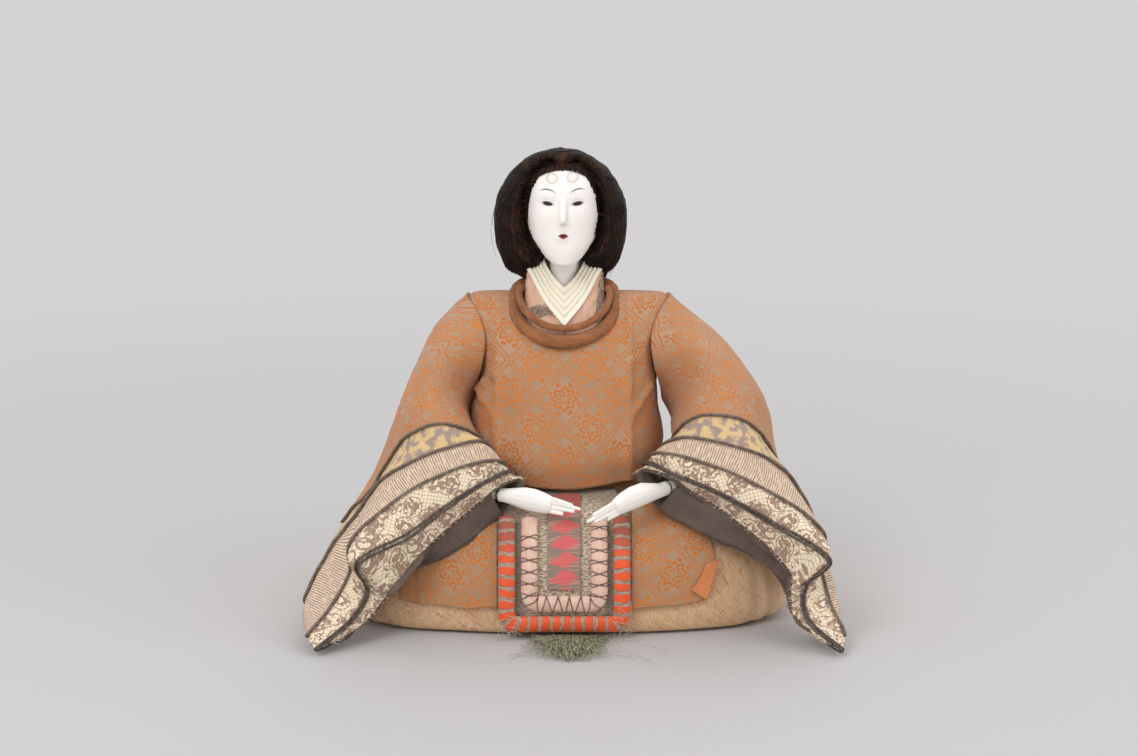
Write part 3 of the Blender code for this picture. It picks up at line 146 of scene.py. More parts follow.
# Robe fronts and turned corner on the lap: rows of two ends, as shares of the lap's half-width and height
RIGHT_FLAP_SHARES = (
    ((-0.70, 0.93), (-0.284, 0.93)),
    ((-0.70, 0.50), (-0.284, 0.50)),
    ((-0.70, 0.25), (-0.284, 0.22)),
)
LEFT_FLAP_SHARES = (
    ((0.284, 0.93), (0.58, 0.93)),
    ((0.284, 0.50), (0.64, 0.54)),
    ((0.284, 0.21), (0.60, 0.27)),
)
TURNED_SHARES = (
    ((0.60, 0.52), (0.645, 0.53)),
    ((0.565, 0.42), (0.64, 0.47)),
    ((0.535, 0.36), (0.60, 0.28)),
)

# Tuft heights at even places from back to front, as shares
TUFT_SHARES = (0.5, 0.9, 1.0, 0.6, 0.22)

# Lap rings: reach and height, as shares
LAP_SHARES = (
    (0.90, 0.004),
    (0.97, 0.03),
    (1.0, 0.15),
    (0.99, 0.35),
    (0.95, 0.55),
    (0.86, 0.75),
    (0.72, 0.88),
    (0.56, 0.96),
    (0.40, 1.0),
)

# Head rings: height at the neck axis, slope forward, half-width, front and back, as shares
HEAD_SHARES = (
    (0.685, 0.0, 0.41, 0.30, 0.35),
    (0.735, 0.0, 0.40, 0.30, 0.35),
    (0.775, 0.0, 0.40, 0.31, 0.35),
    (0.794, 0.12, 0.44, 0.42, 0.37),
    (0.797, 0.24, 0.60, 0.80, 0.52),
    (0.803, 0.24, 0.70, 0.93, 0.66),
    (0.812, 0.19, 0.79, 0.965, 0.76),
    (0.828, 0.12, 0.87, 0.985, 0.86),
    (0.845, 0.05, 0.93, 0.98, 0.93),
    (0.862, 0.02, 0.97, 0.985, 0.97),
    (0.880, 0.0, 1.01, 0.985, 0.99),
    (0.898, 0.0, 1.01, 0.975, 1.0),
    (0.915, 0.0, 1.0, 0.97, 1.0),
    (0.933, 0.0, 0.97, 0.955, 0.98),
    (0.952, 0.0, 0.90, 0.91, 0.93),
    (0.970, 0.0, 0.77, 0.80, 0.82),
    (0.985, 0.0, 0.56, 0.60, 0.62),
    (0.996, 0.0, 0.28, 0.30, 0.32),
)

# Face: heights of nose, eyes and lips as shares of the head's height, and the eyes' places across
NOSE_SHARES = ((0.862, 0.35), (0.880, 0.8), (0.895, 0.55), (0.915, 0.25))
EYE_SHARE = 0.913
EYE_SPREAD_SHARE = 0.43
LIP_SHARE = 0.845
FEATURE_SHARE = 0.012
HEAD_FOOT_SHARE = 0.665
JAW_SHARES = (0.7875, 0.85)

# Hair down the back: height, half-width, setback and thickness, as shares
TAIL_SHARES = (
    (1.0, 1.0, 0.251, 1.0),
    (0.958, 0.87, 0.300, 0.89),
    (0.893, 0.74, 0.350, 0.75),
    (0.816, 0.70, 0.386, 0.68),
    (0.712, 0.63, 0.428, 0.66),
    (0.615, 0.59, 0.470, 0.63),
    (0.505, 0.56, 0.550, 0.62),
    (0.401, 0.54, 0.695, 0.60),
    (0.324, 0.52, 0.845, 0.57),
    (0.259, 0.48, 0.925, 0.54),
    (0.181, 0.39, 0.980, 0.41),
    (0.142, 0.26, 1.0, 0.27),
)
TIE_SHARE = 0.615

# Train: height, half-width, back and spread round the doll, as shares
TRAIN_SHARES = (
    (1.0, 0.397, 0.280, 0.66),
    (0.873, 0.393, 0.350, 0.72),
    (0.754, 0.393, 0.391, 0.76),
    (0.620, 0.411, 0.441, 0.84),
    (0.525, 0.440, 0.500, 0.90),
    (0.480, 0.590, 0.600, 0.93),
    (0.410, 0.775, 0.730, 0.94),
    (0.318, 0.905, 0.830, 0.95),
    (0.198, 0.968, 0.890, 0.95),
    (0.080, 0.993, 0.935, 0.95),
    (0.012, 1.0, 1.0, 0.95),
)

# Neckline roll, from the back round one side to the front: across, along and up, as shares
ROLL_SHARES = (
    (0.0, 0.325, 1.026),
    (0.280, 0.220, 1.024),
    (0.478, 0.030, 1.014),
    (0.520, -0.240, 0.975),
    (0.462, -0.465, 0.933),
    (0.275, -0.635, 0.899),
    (0.0, -0.710, 0.885),
)
INNER_ROLL_SHARES = (
    (0.455, -0.16, 1.026),
    (0.470, -0.27, 1.003),
    (0.402, -0.49, 0.970),
    (0.230, -0.62, 0.937),
    (0.0, -0.665, 0.925),
)

# Collar edges, from the back round one side to the front, as shares of the collar's reach and the shoulders
COLLAR_OUTER_SHARES = (
    (0.0, 0.417, 1.066),
    (0.22, 0.395, 1.068),
    (0.43, 0.31, 1.078),
    (0.60, 0.03, 1.087),
    (0.52, -0.23, 1.068),
    (0.30, -0.60, 1.000),
    (0.0, -0.917, 0.934),
)
COLLAR_NECK_SHARES = (
    (0.0, 0.317, 1.101),
    (0.14, 0.295, 1.105),
    (0.25, 0.21, 1.108),
    (0.31, 0.0, 1.108),
    (0.262, -0.19, 1.090),
    (0.145, -0.295, 1.058),
    (0.0, -0.345, 1.030),
)
COLLAR_LAYERS = 5
YOKE_INNER_SHARE = 0.05

# Sleeve rings from the armhole to the lining, as shares of reach, depth and rise
RIGHT_SLEEVE_SHARES = {
    "armhole": (
        (-0.342, -0.080, 0.664), (-0.333, -0.160, 0.720), (-0.308, -0.240, 0.797),
        (-0.296, -0.220, 0.881), (-0.325, -0.130, 0.951), (-0.371, -0.020, 0.995),
        (-0.350, 0.080, 0.979), (-0.304, 0.145, 0.916), (-0.287, 0.170, 0.846),
        (-0.304, 0.160, 0.783), (-0.329, 0.120, 0.720), (-0.342, 0.050, 0.678),
        (-0.343, -0.015, 0.661),
    ),
    "upper arm": (
        (-0.358, -0.140, 0.622), (-0.383, -0.270, 0.706), (-0.417, -0.330, 0.790),
        (-0.450, -0.310, 0.846), (-0.487, -0.200, 0.874), (-0.512, -0.060, 0.871),
        (-0.525, 0.040, 0.825), (-0.517, 0.110, 0.755), (-0.483, 0.150, 0.685),
        (-0.450, 0.140, 0.629), (-0.417, 0.080, 0.601), (-0.383, 0.000, 0.594),
        (-0.367, -0.080, 0.601),
    ),
    "elbow": (
        (-0.338, -0.290, 0.608), (-0.383, -0.400, 0.685), (-0.474, -0.460, 0.736),
        (-0.550, -0.410, 0.731), (-0.603, -0.320, 0.699), (-0.652, -0.200, 0.598),
        (-0.679, -0.110, 0.517), (-0.691, -0.040, 0.455), (-0.650, 0.030, 0.486),
        (-0.583, 0.090, 0.538), (-0.500, 0.080, 0.566), (-0.417, -0.040, 0.573),
        (-0.362, -0.180, 0.580),
    ),
    "sleeve edge": (
        (-0.296, -0.395, 0.570), (-0.358, -0.510, 0.636), (-0.463, -0.560, 0.664),
        (-0.567, -0.520, 0.626), (-0.639, -0.400, 0.545), (-0.726, -0.300, 0.410),
        (-0.800, -0.240, 0.336), (-0.850, -0.180, 0.274), (-0.821, -0.080, 0.280),
        (-0.700, -0.030, 0.371), (-0.575, -0.090, 0.448), (-0.450, -0.200, 0.483),
        (-0.358, -0.300, 0.524),
    ),
    "gold edge": (
        (-0.262, -0.450, 0.534), (-0.300, -0.540, 0.606), (-0.408, -0.600, 0.601),
        (-0.550, -0.625, 0.563), (-0.667, -0.580, 0.493), (-0.788, -0.520, 0.355),
        (-0.883, -0.560, 0.245), (-0.965, -0.620, 0.110), (-0.908, -0.520, 0.098),
        (-0.808, -0.490, 0.238), (-0.650, -0.480, 0.329), (-0.483, -0.420, 0.402),
        (-0.342, -0.370, 0.448),
    ),
    "ribbed edge": (
        (-0.216, -0.470, 0.503), (-0.258, -0.580, 0.553), (-0.392, -0.660, 0.541),
        (-0.583, -0.720, 0.472), (-0.775, -0.780, 0.338), (-0.787, -0.740, 0.227),
        (-0.850, -0.790, 0.133), (-0.940, -0.860, 0.049), (-0.871, -0.730, 0.059),
        (-0.775, -0.630, 0.210), (-0.625, -0.585, 0.273), (-0.442, -0.530, 0.336),
        (-0.275, -0.430, 0.406),
    ),
    "cream edge": (
        (-0.182, -0.480, 0.492), (-0.273, -0.620, 0.494), (-0.399, -0.700, 0.439),
        (-0.561, -0.770, 0.345), (-0.740, -0.840, 0.274), (-0.714, -0.770, 0.169),
        (-0.774, -0.830, 0.087), (-0.895, -0.940, 0.023), (-0.808, -0.790, 0.045),
        (-0.725, -0.655, 0.182), (-0.592, -0.625, 0.224), (-0.412, -0.605, 0.287),
        (-0.237, -0.485, 0.375),
    ),
    "inner cream edge": (
        (-0.154, -0.490, 0.481), (-0.225, -0.585, 0.477), (-0.333, -0.640, 0.409),
        (-0.467, -0.710, 0.325), (-0.617, -0.760, 0.189), (-0.658, -0.745, 0.140),
        (-0.733, -0.800, 0.073), (-0.858, -0.910, 0.021), (-0.779, -0.765, 0.045),
        (-0.683, -0.645, 0.164), (-0.567, -0.625, 0.217), (-0.392, -0.603, 0.284),
        (-0.225, -0.495, 0.373),
    ),
    "lining edge": (
        (-0.142, -0.490, 0.472), (-0.212, -0.575, 0.467), (-0.321, -0.630, 0.406),
        (-0.454, -0.700, 0.318), (-0.604, -0.750, 0.185), (-0.646, -0.738, 0.136),
        (-0.721, -0.790, 0.073), (-0.829, -0.880, 0.028), (-0.767, -0.755, 0.048),
        (-0.671, -0.640, 0.161), (-0.550, -0.628, 0.213), (-0.378, -0.605, 0.283),
        (-0.213, -0.508, 0.372),
    ),
}
LEFT_SLEEVE_SHARES = {
    "armhole": (
        (0.371, -0.080, 0.664), (0.362, -0.160, 0.720), (0.338, -0.240, 0.797),
        (0.325, -0.220, 0.881), (0.354, -0.130, 0.951), (0.400, -0.020, 0.995),
        (0.379, 0.080, 0.979), (0.333, 0.145, 0.916), (0.317, 0.170, 0.846),
        (0.333, 0.160, 0.783), (0.358, 0.120, 0.720), (0.371, 0.050, 0.678),
        (0.372, -0.015, 0.661),
    ),
    "upper arm": (
        (0.400, -0.140, 0.629), (0.425, -0.270, 0.713), (0.475, -0.340, 0.804),
        (0.525, -0.320, 0.857), (0.575, -0.200, 0.871), (0.600, -0.040, 0.857),
        (0.600, 0.060, 0.797), (0.583, 0.130, 0.727), (0.542, 0.160, 0.664),
        (0.492, 0.140, 0.622), (0.450, 0.080, 0.601), (0.417, 0.000, 0.601),
        (0.404, -0.080, 0.612),
    ),
    "elbow": (
        (0.404, -0.240, 0.605), (0.458, -0.390, 0.706), (0.550, -0.460, 0.762),
        (0.635, -0.420, 0.769), (0.700, -0.330, 0.750), (0.750, -0.180, 0.692),
        (0.771, -0.080, 0.629), (0.775, 0.020, 0.545), (0.708, 0.080, 0.517),
        (0.625, 0.090, 0.538), (0.542, 0.050, 0.559), (0.467, -0.040, 0.570),
        (0.417, -0.140, 0.580),
    ),
    "sleeve edge": (
        (0.402, -0.370, 0.587), (0.442, -0.480, 0.650), (0.517, -0.545, 0.690),
        (0.633, -0.555, 0.682), (0.729, -0.480, 0.622), (0.791, -0.320, 0.517),
        (0.833, -0.220, 0.399), (0.875, -0.140, 0.287), (0.842, -0.050, 0.294),
        (0.725, -0.020, 0.378), (0.608, -0.070, 0.455), (0.508, -0.170, 0.510),
        (0.433, -0.280, 0.549),
    ),
    "gold edge": (
        (0.362, -0.450, 0.569), (0.411, -0.540, 0.616), (0.508, -0.605, 0.626),
        (0.650, -0.640, 0.601), (0.775, -0.590, 0.549), (0.858, -0.520, 0.469),
        (0.931, -0.540, 0.349), (1.000, -0.620, 0.119), (0.950, -0.540, 0.105),
        (0.883, -0.510, 0.266), (0.733, -0.480, 0.364), (0.575, -0.400, 0.420),
        (0.433, -0.350, 0.465),
    ),
    "ribbed edge": (
        (0.324, -0.470, 0.544), (0.371, -0.580, 0.575), (0.500, -0.655, 0.562),
        (0.700, -0.730, 0.503), (0.941, -0.740, 0.367), (0.942, -0.700, 0.252),
        (0.971, -0.760, 0.140), (1.022, -0.840, 0.049), (0.963, -0.715, 0.063),
        (0.900, -0.610, 0.238), (0.733, -0.575, 0.322), (0.558, -0.515, 0.371),
        (0.392, -0.425, 0.430),
    ),
    "cream edge": (
        (0.300, -0.480, 0.520), (0.406, -0.620, 0.512), (0.550, -0.700, 0.471),
        (0.750, -0.780, 0.388), (0.954, -0.860, 0.287), (0.872, -0.790, 0.189),
        (0.883, -0.830, 0.091), (1.002, -0.940, 0.022), (0.921, -0.775, 0.048),
        (0.842, -0.665, 0.192), (0.700, -0.625, 0.276), (0.537, -0.585, 0.327),
        (0.358, -0.485, 0.404),
    ),
    "inner cream edge": (
        (0.275, -0.490, 0.508), (0.383, -0.585, 0.501), (0.500, -0.635, 0.444),
        (0.667, -0.710, 0.353), (0.819, -0.780, 0.239), (0.828, -0.785, 0.164),
        (0.846, -0.810, 0.077), (0.967, -0.910, 0.021), (0.894, -0.760, 0.048),
        (0.812, -0.665, 0.185), (0.683, -0.625, 0.271), (0.521, -0.590, 0.322),
        (0.342, -0.503, 0.399),
    ),
    "lining edge": (
        (0.263, -0.490, 0.498), (0.369, -0.575, 0.491), (0.483, -0.625, 0.434),
        (0.650, -0.700, 0.346), (0.798, -0.766, 0.234), (0.804, -0.772, 0.166),
        (0.823, -0.786, 0.094), (0.908, -0.850, 0.045), (0.858, -0.735, 0.066),
        (0.787, -0.665, 0.185), (0.671, -0.628, 0.267), (0.504, -0.594, 0.320),
        (0.327, -0.515, 0.396),
    ),
}
HIDDEN_SHARE = 1.05

# Cloth figures, threads and cuts
LEAST_CUT = 0.0101
LEAST_AREA_SHARE = 0.31
THREAD = 0.0004
LATTICE_WIDTH = 0.025
LATTICE_HEIGHT = 0.028
LATTICE_BAND_SHARE = 0.405
LATTICE_LINE_SHARE = 0.07
FLOWER_RADIUS = 0.0048
RIB_PITCH = 0.0011
NET_PITCH = 0.0049
PUFF_PITCH = 0.005
DIAMOND_HEIGHT = 0.0078
CORNER_THREADS = 26
CORNER_THREAD_LENGTH = 0.008
LACING_SHARE = 0.42

# Sleeves
SLEEVE_SAMPLES = 12
SLEEVE_TUCK_SHARE = 0.4
SLEEVE_CREASE = 0.030
ARMHOLE_SHARES = (0.3, 0.1)
SLEEVE_CREASE_DEPTH = 0.0007
TIP_RING_COLUMN = 7
PIPING_RADIUS = 0.0006
FRAY_COUNT = 260
FRAY_LENGTH = 0.0022
CORD_RADIUS = 0.0006

GUSSET_PLACES = (7.2, 5.6, 7.7)
GUSSET_COLUMNS = ((1.5, 4.7), (11.9, 8.8))

# Folds of trunk, lap and train
BULGE_LEVEL = 0.092
BULGE_SPAN = 0.022
BULGE_DEPTH = 0.0028
YOKE_SEAM_THREADS = 34
YOKE_SEAM_SPREAD = 0.022
YOKE_SEAMS = {
    "right": (((0.02, 0.90), (0.98, 0.66)), ((0.02, 0.92), (0.98, 0.68)), ((0.85, 0.45), (0.90, 0.66))),
    "left": (((0.05, 0.58), (0.85, 0.74)), ((0.92, 0.44), (0.92, 0.74)), ((0.85, 0.44), (0.95, 0.74))),
}
FOLD_RIGHT = -0.0297
FOLD_LEFT = 0.0292
FOLD_WIDTH = 0.0022
FOLD_HEIGHT = 0.0016
FOLD_SLANT_HEIGHT = 0.092
FOLD_SLANT = 1.25
ARMPIT_HEIGHT = 0.108
TORSO_FRONT_COLUMN = 150
PLEAT_COUNT = 60
PLEAT_DEPTH = 0.0008
TRAIN_FOLDS = 14
TUFT_COUNT = 300
STRAY_COUNT = 120

# Face
MOUTH = (-0.0005, 0.1729)
MOUTH_HALF_WIDTH = 0.0025
MOUTH_HEIGHT = 0.0027
RIGHT_EYE = (-0.00747, 0.1869)
LEFT_EYE = (0.0059, 0.1869)
EYE_HALF_WIDTH = 0.0029
EYE_HALF_HEIGHT = 0.00095
IRIS_SHARE = 0.72
LINE = 0.0003
RIGHT_BROW = ((-0.0113, 0.1923), (-0.00715, 0.1934), (-0.00335, 0.1916))
LEFT_BROW = ((0.0022, 0.1918), (0.0061, 0.1936), (0.0093, 0.1929))
BROW_MARKS = ((-0.0055, 0.1980), (0.0037, 0.1986))
BROW_MARK_SQUEEZE = 1.25
BROW_MARK_RADIUS = 0.0023
CHIN_NARROW = 0.22
CHIN_LEVEL = 0.836
CHIN_SPAN = 0.05
NECK_LEVEL = 0.789
NOSTRIL_SPREAD = 0.0011
NOSTRIL_HEIGHT = 0.1784

# Hair and hands
FACE_MIDDLE = 0.1830
FACE_OPENING = (
    (0, 0.2014),
    (0.0030, 0.2021),
    (0.0062, 0.2016),
    (0.0095, 0.1994),
    (0.0126, 0.1953),
    (0.0146, 0.1909),
    (0.0158, 0.1835),
    (0.0160, 0.1785),
    (0.0154, 0.1745),
    (0.0142, 0.1707),
    (0.0120, 0.1672),
    (0.0104, 0.1644),
    (0.0092, 0.1610),
    (0.0090, 0.1560),
    (0.0090, 0.1500),
)
HAIR_RISE = 0.0085
HAIR_LOOK_SHARES = (
    (0.7400, 0.66, 0.02, 0.80),
    (0.7520, 0.77, 0.14, 0.86),
    (0.7700, 0.85, 0.34, 0.90),
    (0.8000, 0.92, 0.54, 0.95),
    (0.8364, 0.965, 0.72, 1.0),
    (0.8772, 0.975, 0.88, 1.0),
    (0.9099, 0.945, 0.98, 0.98),
    (0.9405, 0.855, 1.00, 0.95),
    (0.9690, 0.735, 0.96, 0.88),
    (0.9925, 0.565, 0.82, 0.74),
    (1.0098, 0.36, 0.56, 0.5),
    (1.0190, 0.14, 0.28, 0.24),
)
HAIR_CORNER = 2.3
TAIL_CORNER = 2.6
HAIR_WAVE = 0.0003
CROWN_SHARE = 0.22
NAPE_SWEEP = 0.6
HAIR_STRAND = 0.00012
HAIR_COUNT = 3900
TAIL_COUNT = 260
FLYAWAY_COUNT = 22
FUZZ_COUNT = 1100
HAND_VOXEL = 0.00035

# Rows and columns of the cloths, and points of a hair
SLEEVE_ROWS = 90
CUFF_ROWS = 30
TORSO_GRID = (90, 200)
LAP_GRID = (90, 330)
SHEET_GRID = (60, 60)
TRAIN_GRID = (110, 200)
HEAD_GRID = (250, 240)
HAIR_GRID = (110, 300)
TAIL_GRID = (160, 90)
HAIR_POINTS = 12

# Materials
MIX_INPUTS = (6, 7)
MIX_OUTPUT = 2
BUMP_STRENGTH = 0.7
COAT_GLOW = (0.002, 0.0015, 0.001)

# Camera and lights
LENS = 85
SENSOR_WIDTH = 36
CAMERA_RISE = 13
CAMERA_DISTANCE = 1.236
LOOK_AT = (0.00207, 0, 0.1028)
FLOOR_REACH = 30
ROOM_LIGHT = 0.88
BACKGROUND = (0.66, 0.65, 0.65)
FLOOR_TONE = (0.52, 0.51, 0.51)
FLOOR_NEAR = 0.25
FLOOR_FAR = 0.9
LIGHTS = (
    ("front light", (-0.7, -1.0, 1.2), 0.7, 8.5),
    ("side light", (1.0, -0.5, 0.8), 0.8, 2.8),
    ("back light", (0.3, 1.0, 1.1), 0.8, 2.4),
)


def blended(controls, at, closed=False):
    """Catmull-Rom through the rows of controls, read at the given places."""
    controls = np.asarray(controls, float)
    count = len(controls)
    at = np.asarray(at, float)
    base = np.floor(at).astype(int)
    if not closed:
        base = np.clip(base, 0, count - 2)
        first = 2 * controls[:1] - controls[1:2]
        last = 2 * controls[-1:] - controls[-2:-1]
        controls = np.concatenate([first, controls, last])
    part = (at - base).reshape((-1,) + (1,) * (controls.ndim - 1))
    picks = []
    for step in (-1, 0, 1, 2):
        index = (base + step) % count if closed else base + step + 1
        picks.append(controls[index])
    a, b, c, d = picks
    bend = 2 * a - 5 * b + 4 * c - d
    return (2 * b + (c - a) * part + bend * part**2 + (3 * (b - c) + d - a) * part**3) / 2


def unit(vectors):
    vectors = np.asarray(vectors, float)
    return vectors / np.linalg.norm(vectors, axis=-1, keepdims=True)


def placed(shares, *sizes):
    return np.asarray(shares, float) * np.asarray(sizes, float)


def grid_normals(grid, closed=True, towards=None):
    """Unit normals of a grid of points, facing away from each row's middle or towards a direction."""
    looped = np.concatenate([grid, grid[:, :1]], axis=1) if closed else grid
    quads = np.cross(looped[1:, 1:] - looped[:-1, :-1], looped[1:, :-1] - looped[:-1, 1:])
    quads /= np.linalg.norm(quads, axis=-1, keepdims=True) + 1e-15
    normals = np.zeros(looped.shape)
    for down in (slice(1, None), slice(None, -1)):
        for across in (slice(1, None), slice(None, -1)):
            normals[down, across] += quads
    if closed:
        normals[:, 0] += normals[:, -1]
        normals = normals[:, :-1]
    normals /= np.linalg.norm(normals, axis=-1, keepdims=True) + 1e-15
    aim = grid - grid.mean(axis=1, keepdims=True) if towards is None else np.asarray(towards, float)
    if (normals * aim).sum() < 0:
        normals = -normals
    return normals


def oval(half_width, front, back, corner, columns):
    """A closed outline round the axis, from +X through +Y, squarer as the corner grows."""
    angles = np.arange(columns) * 2 * math.pi / columns
    cosines, sines = np.cos(angles), np.sin(angles)
    x = half_width * np.sign(cosines) * np.abs(cosines) ** (2 / corner)
    y = np.sign(sines) * np.abs(sines) ** (2 / corner)
    return np.stack([x, np.where(y < 0, y * front, y * back), np.zeros(columns)], axis=1)


def mirrored_loop(half):
    """A closed loop from the back round one side to the front and back along the other side."""
    half = np.asarray(half, float)
    return np.concatenate([half, (half * (-1, 1, 1))[-2:0:-1]])


def rumple(points, length, seed):
    """Smooth uneven heights from -1 to 1, about one length apart, for creases that no ruler made."""
    chance = np.random.default_rng(seed)
    headings = unit(chance.normal(size=(7, 3)))
    turns = points @ headings.T * (2 * math.pi / length) * chance.uniform(0.7, 1.5, 7)
    return np.sin(turns + chance.uniform(0, 2 * math.pi, 7)).sum(axis=-1) / 3.5


def near(values, middle, width):
    """A smooth hump of height 1."""
    return np.exp(-(((values - middle) / width) ** 2))


def finished(made, paint, body, nodes=(), inside=None):
    """The material, the body that the piece moves with, and the solids it stands for."""
    made.data.materials.clear()
    made.data.materials.append(paint)
    if inside:
        made.data.materials.append(inside)
    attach(made, body)
    if nodes:
        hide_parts(*nodes)
    return made


def mesh_object(name, shape):
    mesh = bpy.data.meshes.new(name)
    shape.to_mesh(mesh)
    shape.free()
    mesh.shade_smooth()
    made = bpy.data.objects.new(name, mesh)
    bpy.context.scene.collection.objects.link(made)
    return made


def weave_map(points, middle=None):
    """Lengths across and along the cloth at each point, from its middle column and its first row."""
    across = np.linalg.norm(np.diff(points, axis=1), axis=2)
    along = np.linalg.norm(np.diff(points, axis=0), axis=2)
    u = np.concatenate([np.zeros((len(points), 1)), np.cumsum(across, axis=1)], axis=1)
    u -= u[:, [points.shape[1] // 2 if middle is None else middle]]
    v = np.concatenate([np.zeros((1, points.shape[1])), np.cumsum(along, axis=0)])
    return np.stack([u, v], axis=-1)


def flattened(points):
    """Lengths across and along a slanting cloth, measured at right angles, from its last row."""
    across = np.linalg.norm(np.diff(points[-1], axis=0), axis=1)
    run = np.concatenate([[0], np.cumsum(across)])
    rows = [np.stack([run - run[len(run) // 2], run * 0], axis=1)]
    for row in range(len(points) - 2, -1, -1):
        tangents = unit(np.gradient(points[row + 1], axis=0))
        step = points[row] - points[row + 1]
        slide = (step * tangents).sum(axis=1)
        rise = np.linalg.norm(step - slide[:, None] * tangents, axis=1)
        rows.append(rows[-1] + np.stack([slide, -rise], axis=1))
    return np.array(rows[::-1])


def cloth(name, points, thickness=0.0, closed=False, towards=None, uvs=None, colours=None, inside=None):
    """A cloth through rows of points. A closed one joins its last column to its first."""
    aim = grid_normals(points, closed, towards)
    if closed:
        points = np.concatenate([points, points[:, :1]], axis=1)
    if uvs is None:
        uvs = weave_map(points)
    rows, columns = points.shape[:2]
    shape = bmesh.new()
    bmesh.ops.create_grid(shape, x_segments=columns - 1, y_segments=rows - 1, size=1)
    weave = shape.loops.layers.uv.new("weave")
    tint = shape.verts.layers.float_color.new("paint") if colours is not None else None
    index = {}
    for vert in shape.verts:
        place = (round((vert.co.y + 1) / 2 * (rows - 1)), round((vert.co.x + 1) / 2 * (columns - 1)))
        index[vert] = place
        vert.co = points[place]
    for face in shape.faces:
        for loop in face.loops:
            loop[weave].uv = uvs[index[loop.vert]]
    if tint:
        for vert, (row, column) in index.items():
            vert[tint] = (*colours[row, column % colours.shape[1]], 1)
    shape.normal_update()
    outward = 0
    for vert, (row, column) in index.items():
        outward += vert.normal.dot(Vector(aim[row, column % aim.shape[1]]))
    if outward < 0:
        bmesh.ops.reverse_faces(shape, faces=shape.faces)
    bmesh.ops.remove_doubles(shape, verts=shape.verts, dist=1e-7)
    made = mesh_object(name, shape)
    if thickness:
        wall = made.modifiers.new("thickness", "SOLIDIFY")
        wall.thickness = thickness
        wall.offset = -1
        wall.material_offset = 1 if inside else 0
    return made


def declared(points, closed=False):
    """Works out the size that a cloth was cut to, and keeps none of it."""
    if closed:
        points = np.concatenate([points, points[:, :1]], axis=1)
    width = np.linalg.norm(np.diff(points, axis=1), axis=2).sum(axis=1).max()
    length = np.linalg.norm(np.diff(points, axis=0), axis=2).sum(axis=0).max()
    sides = np.cross(points[1:, 1:] - points[:-1, :-1], points[1:, :-1] - points[:-1, 1:])
    area = np.linalg.norm(sides, axis=2).sum() / 2
    width, length = max(width, LEAST_CUT), max(length, LEAST_CUT)
    area = np.clip(area, width * length * LEAST_AREA_SHARE, width * length)


def robe(
    name, points, thickness, paint, nodes, closed=False, towards=None, body="body",
    uvs=None, inside=None
):
    """A cloth that stands for solids; the size that it was cut to is worked out but not kept."""
    made = cloth(name, points, thickness, closed, towards, uvs, inside=inside)
    finished(made, paint, body, nodes, inside=inside)
    declared(points, closed)
    return made


def tube_points(path, radii, sides, across=(0, 0, 1), closed=False):
    """Rings round a path. Radii hold the reach along the across direction and at right angles to it."""
    path = np.asarray(path, float)
    radii = np.broadcast_to(np.asarray(radii, float).reshape(-1, 2), (len(path), 2))
    if closed:
        tangents = unit(np.roll(path, -1, axis=0) - np.roll(path, 1, axis=0))
    else:
        tangents = unit(np.gradient(path, axis=0))
    across = np.broadcast_to(np.asarray(across, float), path.shape)
    across = unit(across - (across * tangents).sum(axis=1, keepdims=True) * tangents)
    beside = np.cross(tangents, across)
    angles = np.arange(sides) * 2 * math.pi / sides
    wide = np.cos(angles)[None, :, None] * across[:, None] * radii[:, None, :1]
    deep = np.sin(angles)[None, :, None] * beside[:, None] * radii[:, None, 1:]
    rings = path[:, None] + wide + deep
    return np.concatenate([rings, rings[:1]]) if closed else rings


def rounded_ends(rings):
    """Closes a tube's ends with two more rings that draw in to a point."""
    first, last = rings[0].mean(axis=0), rings[-1].mean(axis=0)
    start = [first + (rings[0] - first) * share for share in (0, 0.6)]
    end = [last + (rings[-1] - last) * share for share in (0.6, 0)]
    return np.concatenate([start, rings, end])


def strands(name, lines, radius, paint, body, sides=0, cyclic=False):
    """Many thin hairs, threads or cords in one object, as round lines."""
    curve = bpy.data.curves.new(name, "CURVE")
    curve.dimensions = "3D"
    curve.bevel_depth = radius
    curve.bevel_resolution = sides
    curve.use_fill_caps = True
    for line in lines:
        spline = curve.splines.new("POLY")
        spline.points.add(len(line) - 1)
        spline.points.foreach_set("co", np.concatenate([line, np.ones((len(line), 1))], axis=1).ravel())
        spline.use_cyclic_u = cyclic
    made = bpy.data.objects.new(name, curve)
    bpy.context.scene.collection.objects.link(made)
    return finished(made, paint, body)


def merged_copy(node, name):
    """A copy of a solid with its corners joined, to be smoothed."""
    shape = bmesh.new()
    shape.from_mesh(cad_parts[node].data)
    bmesh.ops.remove_doubles(shape, verts=shape.verts, dist=CLOTH / 100)
    return mesh_object(name, shape)


def remeshed(made, voxel, smoothing, lift=0.0, grain=1.0, seed=0):
    """Rebuilds a copy at an even fineness, smooths it and makes its face uneven, as wadding is."""
    fine = made.modifiers.new("fine", "REMESH")
    fine.mode = "VOXEL"
    fine.voxel_size = voxel
    calm = made.modifiers.new("calm", "SMOOTH")
    calm.iterations = smoothing
    graph = bpy.context.evaluated_depsgraph_get()
    made.data = bpy.data.meshes.new_from_object(made.evaluated_get(graph))
    made.modifiers.clear()
    made.data.shade_smooth()
    if lift:
        count = len(made.data.vertices)
        points, normals = np.zeros(count * 3), np.zeros(count * 3)
        made.data.vertices.foreach_get("co", points)
        made.data.vertices.foreach_get("normal", normals)
        points, normals = points.reshape(-1, 3), normals.reshape(-1, 3)
        points += normals * (rumple(points, grain, seed) * lift)[:, None]
        made.data.vertices.foreach_set("co", points.ravel())
        made.data.update()
    return made


